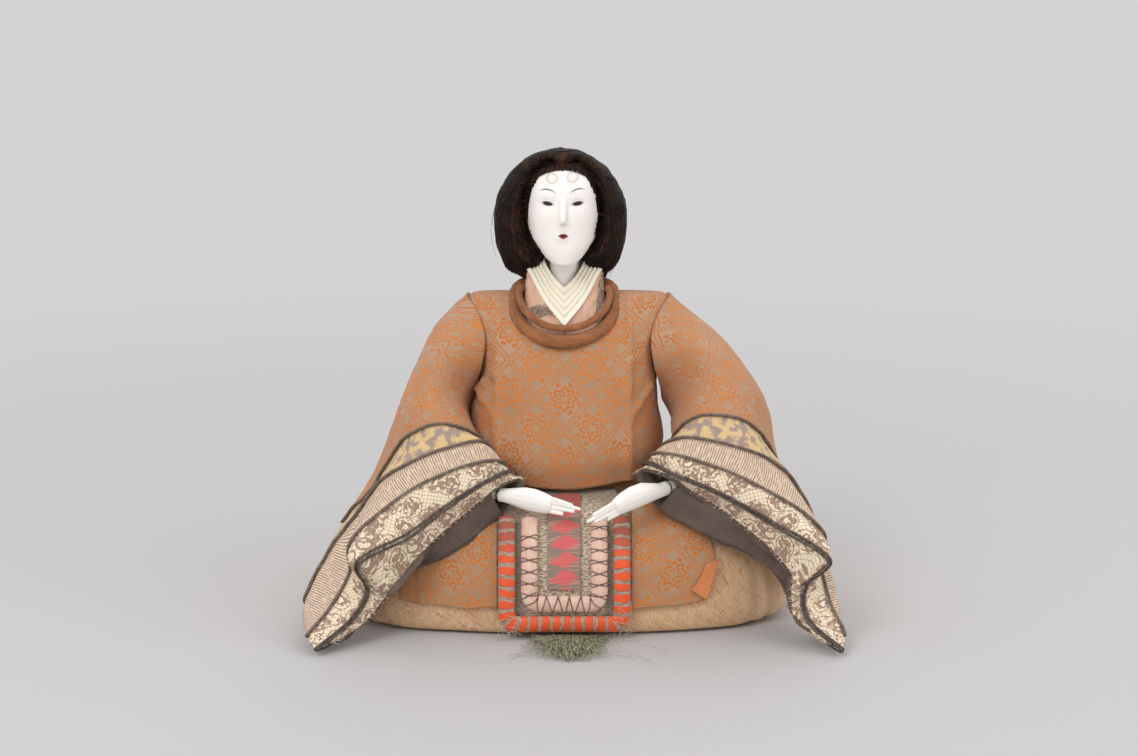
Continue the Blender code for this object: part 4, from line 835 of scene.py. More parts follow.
class Signal:
    """A number or colour on a material's node tree, joined to others by plain arithmetic."""

    def __init__(self, tree, socket):
        self.tree = tree
        self.socket = socket

    def __add__(self, other):
        return sum_of("ADD", self, other)

    def __sub__(self, other):
        return sum_of("SUBTRACT", self, other)

    def __mul__(self, other):
        return sum_of("MULTIPLY", self, other)

    def __truediv__(self, other):
        return sum_of("DIVIDE", self, other)

    def __pow__(self, other):
        return sum_of("POWER", self, other)

    def __abs__(self):
        return sum_of("ABSOLUTE", self)


def fill(entry, value):
    """Joins an input to a signal, or sets its value."""
    if isinstance(value, Signal):
        value.tree.links.new(value.socket, entry)
    else:
        entry.default_value = value


def step(tree, kind, values, output=0, **settings):
    """One output of a new node, with the node's settings and the values of its inputs."""
    made = tree.nodes.new("ShaderNode" + kind)
    for key, value in settings.items():
        setattr(made, key, value)
    for key, value in values.items():
        fill(made.inputs[key], value)
    return Signal(tree, made.outputs[output])


def sum_of(operation, *values):
    """One arithmetic step on signals and numbers."""
    return step(values[0].tree, "Math", dict(enumerate(values)), operation=operation)


def most(first, second):
    return sum_of("MAXIMUM", first, second)


def mixed(share, first, second):
    """One colour passing into another."""
    tones = [tone if isinstance(tone, Signal) else (*tone, 1) for tone in (first, second)]
    inputs = {0: share, **dict(zip(MIX_INPUTS, tones))}
    return step(share.tree, "Mix", inputs, MIX_OUTPUT, data_type="RGBA")


def edge(value, low, high):
    """0 below low, 1 above high, and smooth between them."""
    values = {"Value": value, "From Min": low, "From Max": high}
    return step(value.tree, "MapRange", values, interpolation_type="SMOOTHSTEP")


def along_axis(place, axis):
    return step(place.tree, "SeparateXYZ", {0: place}, axis)


def weave_place(paint):
    """The place on the cloth: across, along and both together."""
    place = step(paint.node_tree, "UVMap", {}, uv_map="weave")
    return along_axis(place, 0), along_axis(place, 1), place


def object_place(paint):
    return step(paint.node_tree, "TexCoord", {}, "Object")


def cloud(place, length, detail=3.0):
    """Soft patches about one length across, from 0 to 1."""
    return step(place.tree, "TexNoise", {"Scale": 1 / length, "Detail": detail, "Vector": place}, "Fac")


def cells(place, length, feature="F1"):
    """Distances within cells about one length across."""
    values = {"Scale": 1 / length, "Vector": place}
    return step(place.tree, "TexVoronoi", values, "Distance", feature=feature)


def stripes(value, pitch):
    """Even stripes from 0 to 1 along a value."""
    return sum_of("SINE", value * (2 * math.pi / pitch)) * 0.5 + 0.5


def streaks(across, along, wide, long):
    """Uneven threads, thin one way and long the other."""
    stretched = {0: across * (1 / wide), 1: along * (1 / long)}
    return cloud(step(across.tree, "CombineXYZ", stretched), 1, 2)


def threads(across, along, pitch):
    """The crossing threads of a plain weave."""
    return stripes(across, pitch) * stripes(along, pitch)


def whole_part(value):
    """Distance from the middle of the repeat that a value lies in, from -0.5 to 0.5."""
    return sum_of("FRACT", value) - 0.5


def shader_of(paint):
    return paint.node_tree.nodes["Principled BSDF"]


def new_finish(name, roughness, sheen=0.0, more=None):
    """A material with the plain values of its shader."""
    paint = bpy.data.materials.new(name)
    paint.use_nodes = True
    values = {"Roughness": roughness, "Specular IOR Level": 0.3, "Sheen Weight": sheen}
    for key, value in {**values, **(more or {})}.items():
        fill(shader_of(paint).inputs[key], value)
    return paint


def coloured(paint, tone, height=None, depth=0.0):
    """Gives a material its colour, and raised threads or grain of a real depth."""
    shader = shader_of(paint)
    fill(shader.inputs["Base Color"], tone)
    if height is not None:
        values = {"Strength": BUMP_STRENGTH, "Distance": depth, "Height": height}
        fill(shader.inputs["Normal"], step(height.tree, "Bump", values))
    return paint


def brocade():
    """Taupe silk with an orange lattice of triple lines and a flower in each field."""
    paint = new_finish("brocade", 0.75, sheen=0.15)
    across, along, place = weave_place(paint)
    wide = across * (1 / LATTICE_WIDTH)
    tall = along * (1 / LATTICE_HEIGHT)
    curl = sum_of("SINE", tall * (4 * math.pi)) * 0.014
    rising = wide + tall + curl
    falling = wide - tall - curl
    first, second = whole_part(rising), whole_part(falling)
    outer = most(abs(first), abs(second))
    ripple = stripes(outer, LATTICE_LINE_SHARE)
    band = edge(outer, LATTICE_BAND_SHARE * 0.975, LATTICE_BAND_SHARE)
    lines = edge(ripple, 0.4, 0.75) * band
    sideways = (first + second) * (LATTICE_WIDTH / 2)
    upwards = (first - second) * (LATTICE_HEIGHT / 2)
    square = sideways ** 2 + upwards ** 2
    reach = sum_of("SQRT", square)
    turn = sum_of("ARCTAN2", upwards, sideways)
    petals = sum_of("COSINE", turn * 8)
    rim = petals * (FLOWER_RADIUS / 7) + FLOWER_RADIUS
    line = abs(reach - rim)
    flower = edge(line / FLOWER_RADIUS, 0.2, 0.11)
    inner = reach / FLOWER_RADIUS
    spokes = edge(petals, -0.5, -0.1) * edge(inner, 0.76, 0.66)
    heart = spokes * edge(inner, 0.26, 0.36)
    dots = edge(inner, 1.22, 1.3) * edge(inner, 1.62, 1.54)
    dots = dots * edge(petals * -1, 0.0, 0.5)
    figure = most(most(flower, heart), most(lines, dots))
    worn = streaks(across, along, THREAD * 1.6, THREAD * 5)
    figure = figure * edge(worn, 0.2, 0.42)
    faint = cloud(place, LATTICE_WIDTH, 4)
    ground = mixed(edge(faint, 0.3, 0.7), (0.37, 0.245, 0.16), (0.48, 0.325, 0.22))
    ground = mixed(edge(worn, 0.42, 0.66), ground, (0.5, 0.25, 0.105))
    orange = mixed(edge(faint, 0.35, 0.75), (0.64, 0.205, 0.04), (0.5, 0.155, 0.032))
    height = figure * 0.6 + threads(across, along, THREAD)
    return coloured(paint, mixed(figure, ground, orange), height, THREAD / 3)


def gold_band():
    """Mustard silk with grey-mauve leaves."""
    paint = new_finish("gold band", 0.7, sheen=0.1)
    across, along, place = weave_place(paint)
    leaves = cloud(place, LATTICE_WIDTH / 6, 1.5)
    scroll = abs(leaves - 0.5)
    figure = most(edge(leaves, 0.52, 0.55), edge(scroll, 0.014, 0.006))
    worn = streaks(across, along, THREAD * 2, THREAD * 8)
    gold = mixed(worn, (0.78, 0.56, 0.27), (0.67, 0.46, 0.24))
    mauve = mixed(worn, (0.35, 0.255, 0.21), (0.43, 0.32, 0.27))
    return coloured(paint, mixed(figure, gold, mauve), threads(across, along, THREAD), THREAD / 3)


def ribbed_band():
    """Beige and grey threads in fine upright ribs."""
    paint = new_finish("ribbed band", 0.8)
    across, along, place = weave_place(paint)
    ribs = stripes(across, RIB_PITCH)
    worn = streaks(across, along, RIB_PITCH * 0.8, RIB_PITCH * 3)
    dark = edge(ribs, 0.35, 0.65) * edge(worn, 0.3, 0.5)
    pale = mixed(cloud(place, LATTICE_WIDTH / 2), (0.92, 0.7, 0.5), (0.8, 0.6, 0.44))
    height = ribs * 1.5 + threads(across, along, THREAD)
    return coloured(paint, mixed(dark, pale, (0.36, 0.27, 0.225)), height, THREAD / 2)


def cream_brocade():
    """Cream silk with brown flowers and a fine lattice."""
    paint = new_finish("cream brocade", 0.75, sheen=0.1)
    across, along, place = weave_place(paint)
    middle = cells(place, LATTICE_WIDTH / 3)
    bent = cloud(place, LATTICE_WIDTH / 9, 2)
    shape = (bent - 0.5) * 1.2 + middle
    bloom = edge(shape, 0.46, 0.4) * edge(shape, 0.06, 0.12)
    slants = across + along, across - along
    rising, falling = (edge(stripes(slant, LATTICE_WIDTH / 11), 0.84, 0.95) for slant in slants)
    net = most(rising, falling) * edge(shape, 0.5, 0.56)
    leaves = cells(place, LATTICE_WIDTH / 8, "DISTANCE_TO_EDGE")
    leaf = edge(leaves, 0.17, 0.23) * edge(bent, 0.5, 0.54)
    arc = edge(abs(middle - 0.55), 0.035, 0.018)
    bloom = most(bloom, most(leaf, arc))
    figure = most(bloom, net * 0.6)
    worn = streaks(across, along, THREAD * 2.5, THREAD * 5)
    figure = figure * edge(worn, 0.25, 0.45)
    cream = mixed(worn, (0.9, 0.74, 0.53), (0.98, 0.84, 0.63))
    height = threads(across, along, THREAD * 1.3) - figure
    return coloured(paint, mixed(figure, cream, (0.36, 0.24, 0.175)), height, THREAD / 3)


def plain_cloth(name, dark, light, roughness=0.85, pitch=THREAD):
    """One dyed cloth with crossing threads and slow changes of tone."""
    paint = new_finish(name, roughness, 0.1)
    across, along, place = weave_place(paint)
    tone = (streaks(across, along, pitch * 2, pitch * 12) + cloud(place, LATTICE_WIDTH / 2)) * 0.5
    tone = mixed(edge(tone, 0.3, 0.7), dark, light)
    return coloured(paint, tone, threads(across, along, pitch), pitch / 3)


def straw_weave():
    """A loose straw-coloured weave with slanting cream and rust threads, and painted light that makes it
    paler towards the +X corner.
    """
    paint = new_finish("straw weave", 0.85, sheen=0.1)
    across, along, place = weave_place(paint)
    warp = streaks(across, along, THREAD * 2, THREAD * 14)
    weft = streaks(along, across, THREAD * 2, THREAD * 14)
    base = mixed(edge(warp, 0.35, 0.65), (0.62, 0.37, 0.2), (0.74, 0.48, 0.28))
    base = mixed(edge(weft, 0.55, 0.75), base, (0.68, 0.53, 0.36))
    rising = along * 1.25 + across
    falling = along * -1.25 + across
    patch = edge(cloud(place, LATTICE_WIDTH * 0.8, 2), 0.42, 0.6)
    rust, cream = (0.46, 0.16, 0.06), (0.74, 0.6, 0.42)
    for slanted, other, colour in ((rising, falling, rust), (falling, rising, cream)):
        line = edge(streaks(slanted, other, THREAD * 2.4, LATTICE_WIDTH * 0.7), 0.54, 0.64)
        base = mixed(line * (patch * 0.45 + 0.35), base, colour)
    # Painted light: the cloth turns paler towards the lap's +X corner, where the sleeve casts shade.
    painted_light = edge(along_axis(object_place(paint), 0), LAP_HALF_WIDTH * 0.72, LAP_HALF_WIDTH * 0.92)
    base = mixed(painted_light * 0.6, base, (0.94, 0.66, 0.42))
    return coloured(paint, base, warp + weft, THREAD / 2)


def netted_roll():
    """Vermilion silk wound with bands of dusty net, with painted shade darkening it near the top."""
    paint = new_finish("netted vermilion", 0.6, sheen=0.1)
    across, along, place = weave_place(paint)
    uneven = cloud(place, NET_PITCH * 2.4, 1) * (NET_PITCH * 0.7) + along
    bands = stripes(uneven, NET_PITCH)
    worn = streaks(along, across, THREAD * 2, THREAD * 10)
    crown = sum_of("COSINE", across * (2 / RED_ROLL_WIDTH))
    held = crown * -0.3 + bands
    net = edge(worn * 0.42 + held, 0.62, 0.74)
    silk = mixed(cloud(place, NET_PITCH * 2), (0.74, 0.075, 0.02), (0.9, 0.135, 0.04))
    # Painted shade: the silk darkens towards the top of the panel, under the bodice's overhang.
    dust_and_shade = edge(along_axis(object_place(paint), 2), PANEL_TOP * 0.72, PANEL_TOP) * 0.75
    silk = mixed(dust_and_shade, silk, (0.24, 0.1, 0.07))
    netting = mixed(edge(worn, 0.4, 0.6), (0.31, 0.215, 0.165), (0.46, 0.34, 0.265))
    return coloured(paint, mixed(net, silk, netting), worn * 0.5 + net * -1.5, THREAD)


def rose_band():
    """Rose diamonds between bands of dusty threads, with painted shade across the top."""
    paint = new_finish("rose band", 0.7, sheen=0.1)
    across, along, place = weave_place(paint)
    row = abs(whole_part(along * (1 / DIAMOND_HEIGHT)))
    side = abs(across) * (1 / (BAND_HALF_WIDTH * 2))
    bent = cloud(place, DIAMOND_HEIGHT, 2) * 0.16 + row
    diamond = edge(bent + side, 0.58, 0.53)
    worn = streaks(along, across, THREAD * 2, THREAD * 30)
    red = mixed(worn, (0.56, 0.085, 0.085), (0.74, 0.19, 0.175))
    dusty = mixed(edge(worn, 0.46, 0.62), (0.26, 0.19, 0.155), (0.5, 0.25, 0.2))
    pattern = mixed(diamond, dusty, red)
    # Painted shade: a darker copy of the red covers the band's top, under the bodice.
    faded_and_shaded = mixed(worn, (0.22, 0.06, 0.05), (0.5, 0.13, 0.11))
    ends = edge(along, DIAMOND_HEIGHT * 1.5, DIAMOND_HEIGHT * 1.25)
    return coloured(paint, mixed(ends, pattern, faded_and_shaded), worn, THREAD)


def panel_ground():
    """A grey weave with short cream flecks."""
    paint = new_finish("panel ground", 0.85, sheen=0.1)
    across, along, _ = weave_place(paint)
    fleck = streaks(along, across, THREAD * 1.6, THREAD * 5)
    tone = mixed(edge(fleck, 0.42, 0.58), (0.3, 0.23, 0.175), (0.72, 0.6, 0.44))
    outer = edge(abs(across), PANEL_HALF_WIDTH * 0.52, PANEL_HALF_WIDTH * 0.66)
    shade = most(outer, edge(along, PANEL_TOP * 0.42, PANEL_TOP * 0.12))
    grey = mixed(fleck, (0.15, 0.115, 0.09), (0.36, 0.29, 0.225))
    tone = mixed(shade * 0.75, tone, grey)
    return coloured(paint, tone, fleck, THREAD)


def shell_white(name):
    """The polished white coat of head and hands, with slight stains."""
    paint = new_finish(name, 0.38, more={"Subsurface Weight": 0.08, "Subsurface Radius": COAT_GLOW})
    stain = edge(cloud(object_place(paint), HEAD_HALF_WIDTH / 3, 5), 0.52, 0.8)
    return paint, mixed(stain * 0.25, (0.955, 0.91, 0.865), (0.84, 0.76, 0.66))


def face_white():
    """The coat with painted brow marks, lips and ink, and painted shade at the eyelids and nose, held in
    the mesh's own colours.
    """
    paint, tone = shell_white("painted face")
    marks = step(paint.node_tree, "Attribute", {}, "Color", attribute_name="paint")
    # The third channel holds the brow marks and stains, and painted shade at the eyelids, nostrils and
    # nose.
    for channel, colour in ((2, (0.42, 0.37, 0.33)), (1, (0.26, 0.014, 0.01)), (0, (0.035, 0.024, 0.02))):
        tone = mixed(step(paint.node_tree, "SeparateColor", {0: marks}, channel), tone, colour)
    return coloured(paint, tone)


def hair_finish(name, dark, light):
    paint = new_finish(name, 0.6, more={"Specular IOR Level": 0.18})
    place = object_place(paint)
    tone = edge(cloud(place, HAIR_HALF_WIDTH / 4, 4), 0.35, 0.65)
    return coloured(paint, mixed(tone, dark, light), cloud(place, THREAD * 2, 2), THREAD / 2)


def grained(name, dark, light, length, stretch, roughness, metallic=0.0):
    """Wood, straw, wire or cord: a grain that runs one way."""
    paint = new_finish(name, roughness, more={"Metallic": metallic})
    turned = step(paint.node_tree, "Mapping", {"Scale": stretch, "Vector": object_place(paint)})
    grain = cloud(turned, length, 4)
    return coloured(paint, mixed(edge(grain, 0.35, 0.65), dark, light), grain, length / 8)


def thread_finish(name, dark, light, roughness=0.7):
    """Cords and loose threads."""
    return grained(name, dark, light, THREAD * 4, (1, 1, 1), roughness)


def backdrop(tree, share, lit, kind, ending):
    """Passes from a lit shader into the background's even tone."""
    even = step(tree, kind, {"Color": (*BACKGROUND, 1)})
    joined = step(tree, "MixShader", {0: share, 1: Signal(tree, lit.outputs[0]), 2: even})
    fill(tree.nodes[ending].inputs["Surface"], joined)


def background_ray(tree):
    """1 for rays that see the background, and 0 for light on the object."""
    kinds = ("Is Camera Ray", "Is Glossy Ray", "Is Transmission Ray")
    seen, glossy, through = (step(tree, "LightPath", {}, kind) for kind in kinds)
    return most(seen, most(glossy, through))


def floor_finish():
    """A pale floor that passes into the background's even tone."""
    paint = new_finish("pale floor", 0.9, more={"Base Color": (*FLOOR_TONE, 1)})
    tree = paint.node_tree
    reach = step(tree, "VectorMath", {0: object_place(paint)}, "Value", operation="LENGTH")
    far = edge(reach, FLOOR_NEAR, FLOOR_FAR)
    backdrop(tree, far * background_ray(tree), shader_of(paint), "Emission", "Material Output")
    return paint


def room():
    """White light from all sides, and the background's tone where the camera looks past the floor."""
    world = bpy.data.worlds.new("white room")
    bpy.context.scene.world = world
    world.use_nodes = True
    tree = world.node_tree
    light = tree.nodes["Background"]
    light.inputs["Color"].default_value = (1, 1, 1, 1)
    light.inputs["Strength"].default_value = ROOM_LIGHT
    backdrop(tree, background_ray(tree), light, "Background", "World Output")


def fine_rows(shares, count):
    return blended(shares, np.linspace(0, len(shares) - 1, count))


def smooth_step(values):
    values = np.clip(values, 0, 1)
    return values * values * (3 - 2 * values)


# Sleeves

def sleeve(side, table, edging_and_shadow_lines, braid, lining):
    """The outer sleeve and the cloths that show in steps at its mouth, all on one creased surface."""
    rings = np.array([placed(ring, SLEEVE_REACH, SLEEVE_DEPTH, SLEEVE_RISE) for ring in table.values()])
    columns = np.arange(0, rings.shape[1], 1 / SLEEVE_SAMPLES)
    rings = np.stack([blended(ring, columns, closed=True) for ring in rings])
    last = 3
    below, below_name = None, "bodice"
    for number, (part, paint, depth, drawn) in enumerate(SLEEVE_CLOTHS):
        first = last - SLEEVE_TUCK_SHARE if number else 0
        final = 3 + number
        places = np.linspace(first, final, CUFF_ROWS if number else SLEEVE_ROWS)
        grid = blended(rings, places)
        normals = grid_normals(grid)
        crease = rumple(grid, SLEEVE_CREASE, 3) * 0.6 + rumple(grid, SLEEVE_CREASE / 3, 5) * 0.25
        grid = grid + normals * (crease * SLEEVE_CREASE_DEPTH)[..., None]
        hidden = depth if below is None else below + HIDDEN_SHARE
        shown = smooth_step((places - last) / 0.3) if number else np.ones(len(places))
        sunk = (hidden + (depth - hidden) * shown) * LAYER
        points = grid - normals * sunk[:, None, None]
        tip = TIP_RING_COLUMN * SLEEVE_SAMPLES
        away = np.abs(np.arange(len(columns)) - tip) / SLEEVE_SAMPLES
        pull = smooth_step(1 - away)[None, :, None] * drawn
        middle = (points[:, tip - SLEEVE_SAMPLES] + points[:, tip + SLEEVE_SAMPLES]) / 2
        points = points + (middle[:, None] - points) * pull
        if number == 0:
            middle = points[0].mean(axis=0)
            closing = [points[0] + (middle - points[0]) * share for share in ARMHOLE_SHARES]
            points = np.concatenate([closing, points])
        uvs = flattened(np.concatenate([points, points[:, :1]], axis=1))
        made = robe(
            f"{side}_{part}_cloth", points, SLEEVE_CLOTH, paint, [f"{side}_{part}"],
            closed=True, uvs=uvs, inside=lining
        )
        if number in (0, 1, 2):
            line = points[-1] + normals[-1] * PIPING_RADIUS / 2
            strands(f"{side}_{part}_piping", [line], PIPING_RADIUS, edging_and_shadow_lines, "body", 2, cyclic=True)
        if number == 3:
            for step in (0, 1):
                line = points[-1 - step * 3] + normals[-1] * PIPING_RADIUS
                strands(f"{side}_{part}_braid_{step}", [line], PIPING_RADIUS, braid, "body", 2, cyclic=True)
        if number in (4, 5):
            fray(f"{side}_{part}_fray", points[-1], normals[-1], points[-1] - points[-3], paint)
        last, below, below_name = final, depth, made.name
    gusset(side, rings, lining)


def gusset(side, rings, lining):
    """The lining's seam, which closes the hanging part of the mouth below the hand."""
    part = np.linspace(0, 1, 40)[:, None]
    near_hand, far, lip = blended(rings, GUSSET_PLACES)
    columns = np.array(GUSSET_COLUMNS) * SLEEVE_SAMPLES
    front, back = (first + (last - first) * part[:, 0] for first, last in columns)
    top = blended(near_hand, front, closed=True) * (1 - part) + blended(far, front, closed=True) * part
    top = top + (0, LAYER * 4, 0)
    foot = blended(lip, back, closed=True) + (0, -LAYER * 2, LAYER)
    points = np.array([top + (foot - top) * share for share in np.linspace(0, 1, 24)])
    aim = grid_normals(points, closed=False, towards=(0, -1, 0))
    points = points + aim * (rumple(points, SLEEVE_CREASE / 2, 9) * CLOTH)[..., None]
    robe(f"{side}_lining_gusset", points, SLEEVE_CLOTH, lining, (), towards=(0, -1, 0))


def fray(name, edge, normals, outward, paint):
    """Loose thread ends along a worn edge."""
    chance = np.random.default_rng(len(name))
    outward = unit(outward)
    lines = []
    for index in chance.integers(0, len(edge), FRAY_COUNT):
        start = edge[index] - outward[index] * CLOTH
        length = FRAY_LENGTH * chance.uniform(0.3, 1)
        lean = chance.normal(size=3) * 0.35
        end = start + (outward[index] + lean) * length
        middle = (start + end) / 2 + normals[index] * length * chance.uniform(-0.2, 0.2)
        lines.append(np.array([start, middle, end]))
    strands(name, lines, THREAD / 5, paint, "body")


# Trunk

def torso_rings(rows, columns):
    rings = []
    for height, wide, front, back in fine_rows(TORSO_SHARES, rows):
        ring = oval(TORSO_HALF_WIDTH * wide, TORSO_FRONT * front, TORSO_BACK * back, TORSO_CORNER, columns)
        ring[:, 0] *= np.where(ring[:, 0] > 0, TORSO_LEFT_SHARE, 1)
        ring[:, 2] = SHOULDER_HEIGHT * height
        rings.append(ring)
    rings = np.array(rings)
    fade = smooth_step(1 - np.arange(rows) / rows * 4)[:, None]
    rings[..., 2] += HEM_RISE * (rings[..., 0] / TORSO_HALF_WIDTH) ** 2 * fade
    return rings


def neckline():
    half = placed(ROLL_SHARES, TORSO_HALF_WIDTH, TORSO_FRONT, SHOULDER_HEIGHT)
    loop = blended(mirrored_loop(half), np.arange(0, 12, 0.1), closed=True)
    facing = unit(np.array((0, half[-1][2] - half[0][2], half[0][1] - half[-1][1])))
    return loop, loop.mean(axis=0), facing


def dropped(made, inside):
    """Takes out the faces whose middles pass the test."""
    shape = bmesh.new()
    shape.from_mesh(made.data)
    middles = np.array([face.calc_center_median() for face in shape.faces])
    faces = [face for face, out in zip(list(shape.faces), inside(middles)) if out]
    bmesh.ops.delete(shape, geom=faces, context="FACES")
    shape.to_mesh(made.data)
    shape.free()
    return made


def within(points, loop, middle, facing):
    """Which points lie inside a loop, seen along the way it faces."""
    across = unit(np.cross(facing, (0, 1, 0)))
    along = np.cross(facing, across)
    rim = np.stack([(loop - middle) @ across, (loop - middle) @ along], axis=1)
    turns = np.arctan2(rim[:, 1], rim[:, 0])
    order = np.argsort(turns)
    reach = np.linalg.norm(rim, axis=1)[order]
    spot = np.stack([(points - middle) @ across, (points - middle) @ along], axis=1)
    allowed = np.interp(np.arctan2(spot[:, 1], spot[:, 0]), turns[order], reach, period=2 * math.pi)
    return np.linalg.norm(spot, axis=1) < allowed


def trunk(silk, cord, pink, ivory, edging_and_shadow_lines, dust_and_shade):
    loop, middle, facing = neckline()
    rings = torso_rings(*TORSO_GRID)
    normals = grid_normals(rings)
    front = smooth_step(-rings[..., 1] / TORSO_FRONT * 2)
    fold = near(rings[..., 0], FOLD_RIGHT, FOLD_WIDTH) + near(rings[..., 0], FOLD_LEFT, FOLD_WIDTH)
    for sign, edge_fold in ((1, FOLD_LEFT), (-1, FOLD_RIGHT)):
        past = (rings[..., 0] - edge_fold) * sign
        slant = past - (rings[..., 2] - FOLD_SLANT_HEIGHT) / FOLD_SLANT
        fold = fold + near(slant, 0, FOLD_WIDTH) * smooth_step(past / FOLD_WIDTH) * 0.8
        slant = past - (rings[..., 2] - FOLD_SLANT_HEIGHT * 1.12) / FOLD_SLANT
        fold = fold - near(slant, 0, FOLD_WIDTH) * smooth_step(past / FOLD_WIDTH)
    crease = rumple(rings, TORSO_HALF_WIDTH * 0.7, 11) * CLOTH * 0.5
    side = smooth_step((-rings[..., 0] / TORSO_HALF_WIDTH - 0.6) / 0.25)
    crease = crease + side * near(rings[..., 2], BULGE_LEVEL, BULGE_SPAN) * BULGE_DEPTH
    armpit = near(np.abs(rings[..., 0]), TORSO_HALF_WIDTH * 0.9, FOLD_WIDTH * 4)
    armpit = armpit * near(rings[..., 2], ARMPIT_HEIGHT, FOLD_WIDTH * 7)
    crease = crease + armpit * (rumple(rings * (1, 1, 2), FOLD_WIDTH * 5, 21) - 1) * FOLD_HEIGHT * 0.8
    rings = rings + normals * np.maximum(fold * front * FOLD_HEIGHT + crease, -CLOTH)[..., None]
    shoulder = rings[-1]
    caps = [shoulder + (shoulder.mean(axis=0) - shoulder) * share for share in np.linspace(0.04, 1, 26)]
    points = np.concatenate([rings, caps])
    whole = np.concatenate([points, points[:, :1]], axis=1)
    shape = cloth("bodice_cloth", points, CLOTH, closed=True, uvs=weave_map(whole, TORSO_FRONT_COLUMN))

    def in_neck(spots):
        return within(spots, loop, middle, facing) & (spots[:, 2] > SHOULDER_HEIGHT * 0.84)

    made = finished(dropped(shape, in_neck), silk, "body", ["bodice"])
    declared(rings, closed=True)

    rings = tube_points(loop, (ROLL_RADIUS, ROLL_RADIUS), 24, facing, closed=True)
    swell = 1 + 0.05 * np.sin(np.arange(len(rings)) * 2.1)[:, None, None]
    centre = rings.mean(axis=1, keepdims=True)
    half = placed(INNER_ROLL_SHARES, TORSO_HALF_WIDTH, TORSO_FRONT, SHOULDER_HEIGHT)
    path = fine_rows(np.concatenate([half, (half * (-1, 1, 1))[-2::-1]]), 80)
    inner = rounded_ends(tube_points(path, (INNER_ROLL_RADIUS, INNER_ROLL_RADIUS), 16, facing))
    outer = centre + (rings - centre) * swell
    for node, shape in (("neckline_roll", outer), ("neckline_inner_roll", inner)):
        roll = finished(cloth(node + "_cloth", shape, closed=True), cord, "body", [node])
    collar(ivory, edging_and_shadow_lines)
    yokes(middle, facing, pink, dust_and_shade)


def collar_edges(count):
    reach = (COLLAR_REACH, COLLAR_REACH, SHOULDER_HEIGHT)
    edges = (COLLAR_OUTER_SHARES, COLLAR_NECK_SHARES)
    return [fine_rows(placed(shares, *reach), count) for shares in edges]


def collar(ivory, edging_and_shadow_lines):
    outer, neck = (mirrored_loop(edge) for edge in collar_edges(48))
    normals = grid_normals(np.array([outer, neck]), towards=(0, 0, 1))
    for layer in range(COLLAR_LAYERS):
        low, high = layer / COLLAR_LAYERS, (layer + 1) / COLLAR_LAYERS
        tucked = 0.4 / COLLAR_LAYERS
        first = (low - tucked, 1.5) if layer else (low, 0.9)
        rows = []
        for part in np.linspace(0, 1, 12):
            share = first[0] + (high - first[0]) * part
            depth = first[1] * (1 - part)
            facing = unit(normals[0] + (normals[1] - normals[0]) * share)
            rows.append(outer + (neck - outer) * share - facing * COLLAR_STEP * depth)
        points = np.array(rows)
        aim = grid_normals(points, towards=(0, 0, 1))
        points = points + aim * (rumple(points, COLLAR_REACH / 4, layer) * COLLAR_PAPER * 0.15)[..., None]
        robe(
            f"collar_cloth_{layer + 1}", points, COLLAR_PAPER, ivory, [f"collar_layer_{layer + 1}"],
            closed=True, towards=(0, 0, 1)
        )
        # Painted shadow: a thin darker strand along each layer's rim stands for the shade at the step
        # between layers.
        rim = points[-1] + aim[-1] * (COLLAR_PAPER / 4)
        strands(f"collar_shadow_rim_{layer + 1}", [rim], COLLAR_PAPER * 0.22, edging_and_shadow_lines, "body", 1, cyclic=True)


def yokes(middle, facing, pink, dust_and_shade):
    """The under-robe's two frayed panels between the collar and the neckline roll."""
    outer_edge, neck_edge = collar_edges(60)
    under_collar = grid_normals(np.array([outer_edge, neck_edge]), closed=False, towards=(0, 0, 1))[0]
    half = placed(ROLL_SHARES, TORSO_HALF_WIDTH, TORSO_FRONT, SHOULDER_HEIGHT)
    rim = fine_rows(half, len(outer_edge))
    inward = unit(middle - rim)
    foot = rim + inward * (ROLL_RADIUS + GAP * 5) - facing * ROLL_RADIUS / 2
    top = outer_edge + (neck_edge - outer_edge) * YOKE_INNER_SHARE
    top = top - under_collar * (COLLAR_STEP + COLLAR_PAPER + GAP)
    surface = np.array([top + (foot - top) * share for share in np.linspace(0, 1, 40)])
    surface[:, [0, -1], 0] = GAP
    normals = grid_normals(surface, closed=False, towards=(0, 0, 1))
    chance = np.random.default_rng(8)
    for side, sign in (("left", 1), ("right", -1)):
        points = surface + normals * (rumple(surface, COLLAR_REACH / 3, sign + 4) * GAP * 0.8)[..., None]
        points = points * (sign, 1, 1)
        nodes = [side + "_yoke"]
        robe(side + "_yoke_cloth", points, CLOTH, pink, nodes, towards=(0, 0, 1))
        lines = []
        for _ in range(FRAY_COUNT):
            row, column = chance.integers(2, 36), chance.integers(4, 44)
            reach = chance.integers(2, 5)
            line = points[row, column : column + reach] + normals[row, column] * (sign, 1, 1) * THREAD / 2
            line = line + chance.normal(size=line.shape) * THREAD / 2
            lines.append(line)
        strands(side + "_yoke_fray", [line for line in lines if len(line) > 1], THREAD / 5, pink, "body")
        worn = []
        for first, last in YOKE_SEAMS[side]:
            for _ in range(YOKE_SEAM_THREADS):
                part = np.linspace(*sorted(chance.uniform(0, 1, 2)), 8)
                way = np.array(last) - first
                spots = first + way * part[:, None] + chance.normal(size=2) * YOKE_SEAM_SPREAD
                row, column = np.clip(spots * (39, 59), 0, (38.9, 58.9)).astype(int).T
                worn.append(points[row, column] + normals[row, column] * (sign, 1, 1) * THREAD)
        strands(side + "_yoke_seams", worn, THREAD / 2.5, dust_and_shade, "body")


# Lap and front panel

def lap_reach_at(height_share):
    fine = fine_rows(LAP_SHARES, 161)
    return np.interp(height_share, fine[:, 1], fine[:, 0])


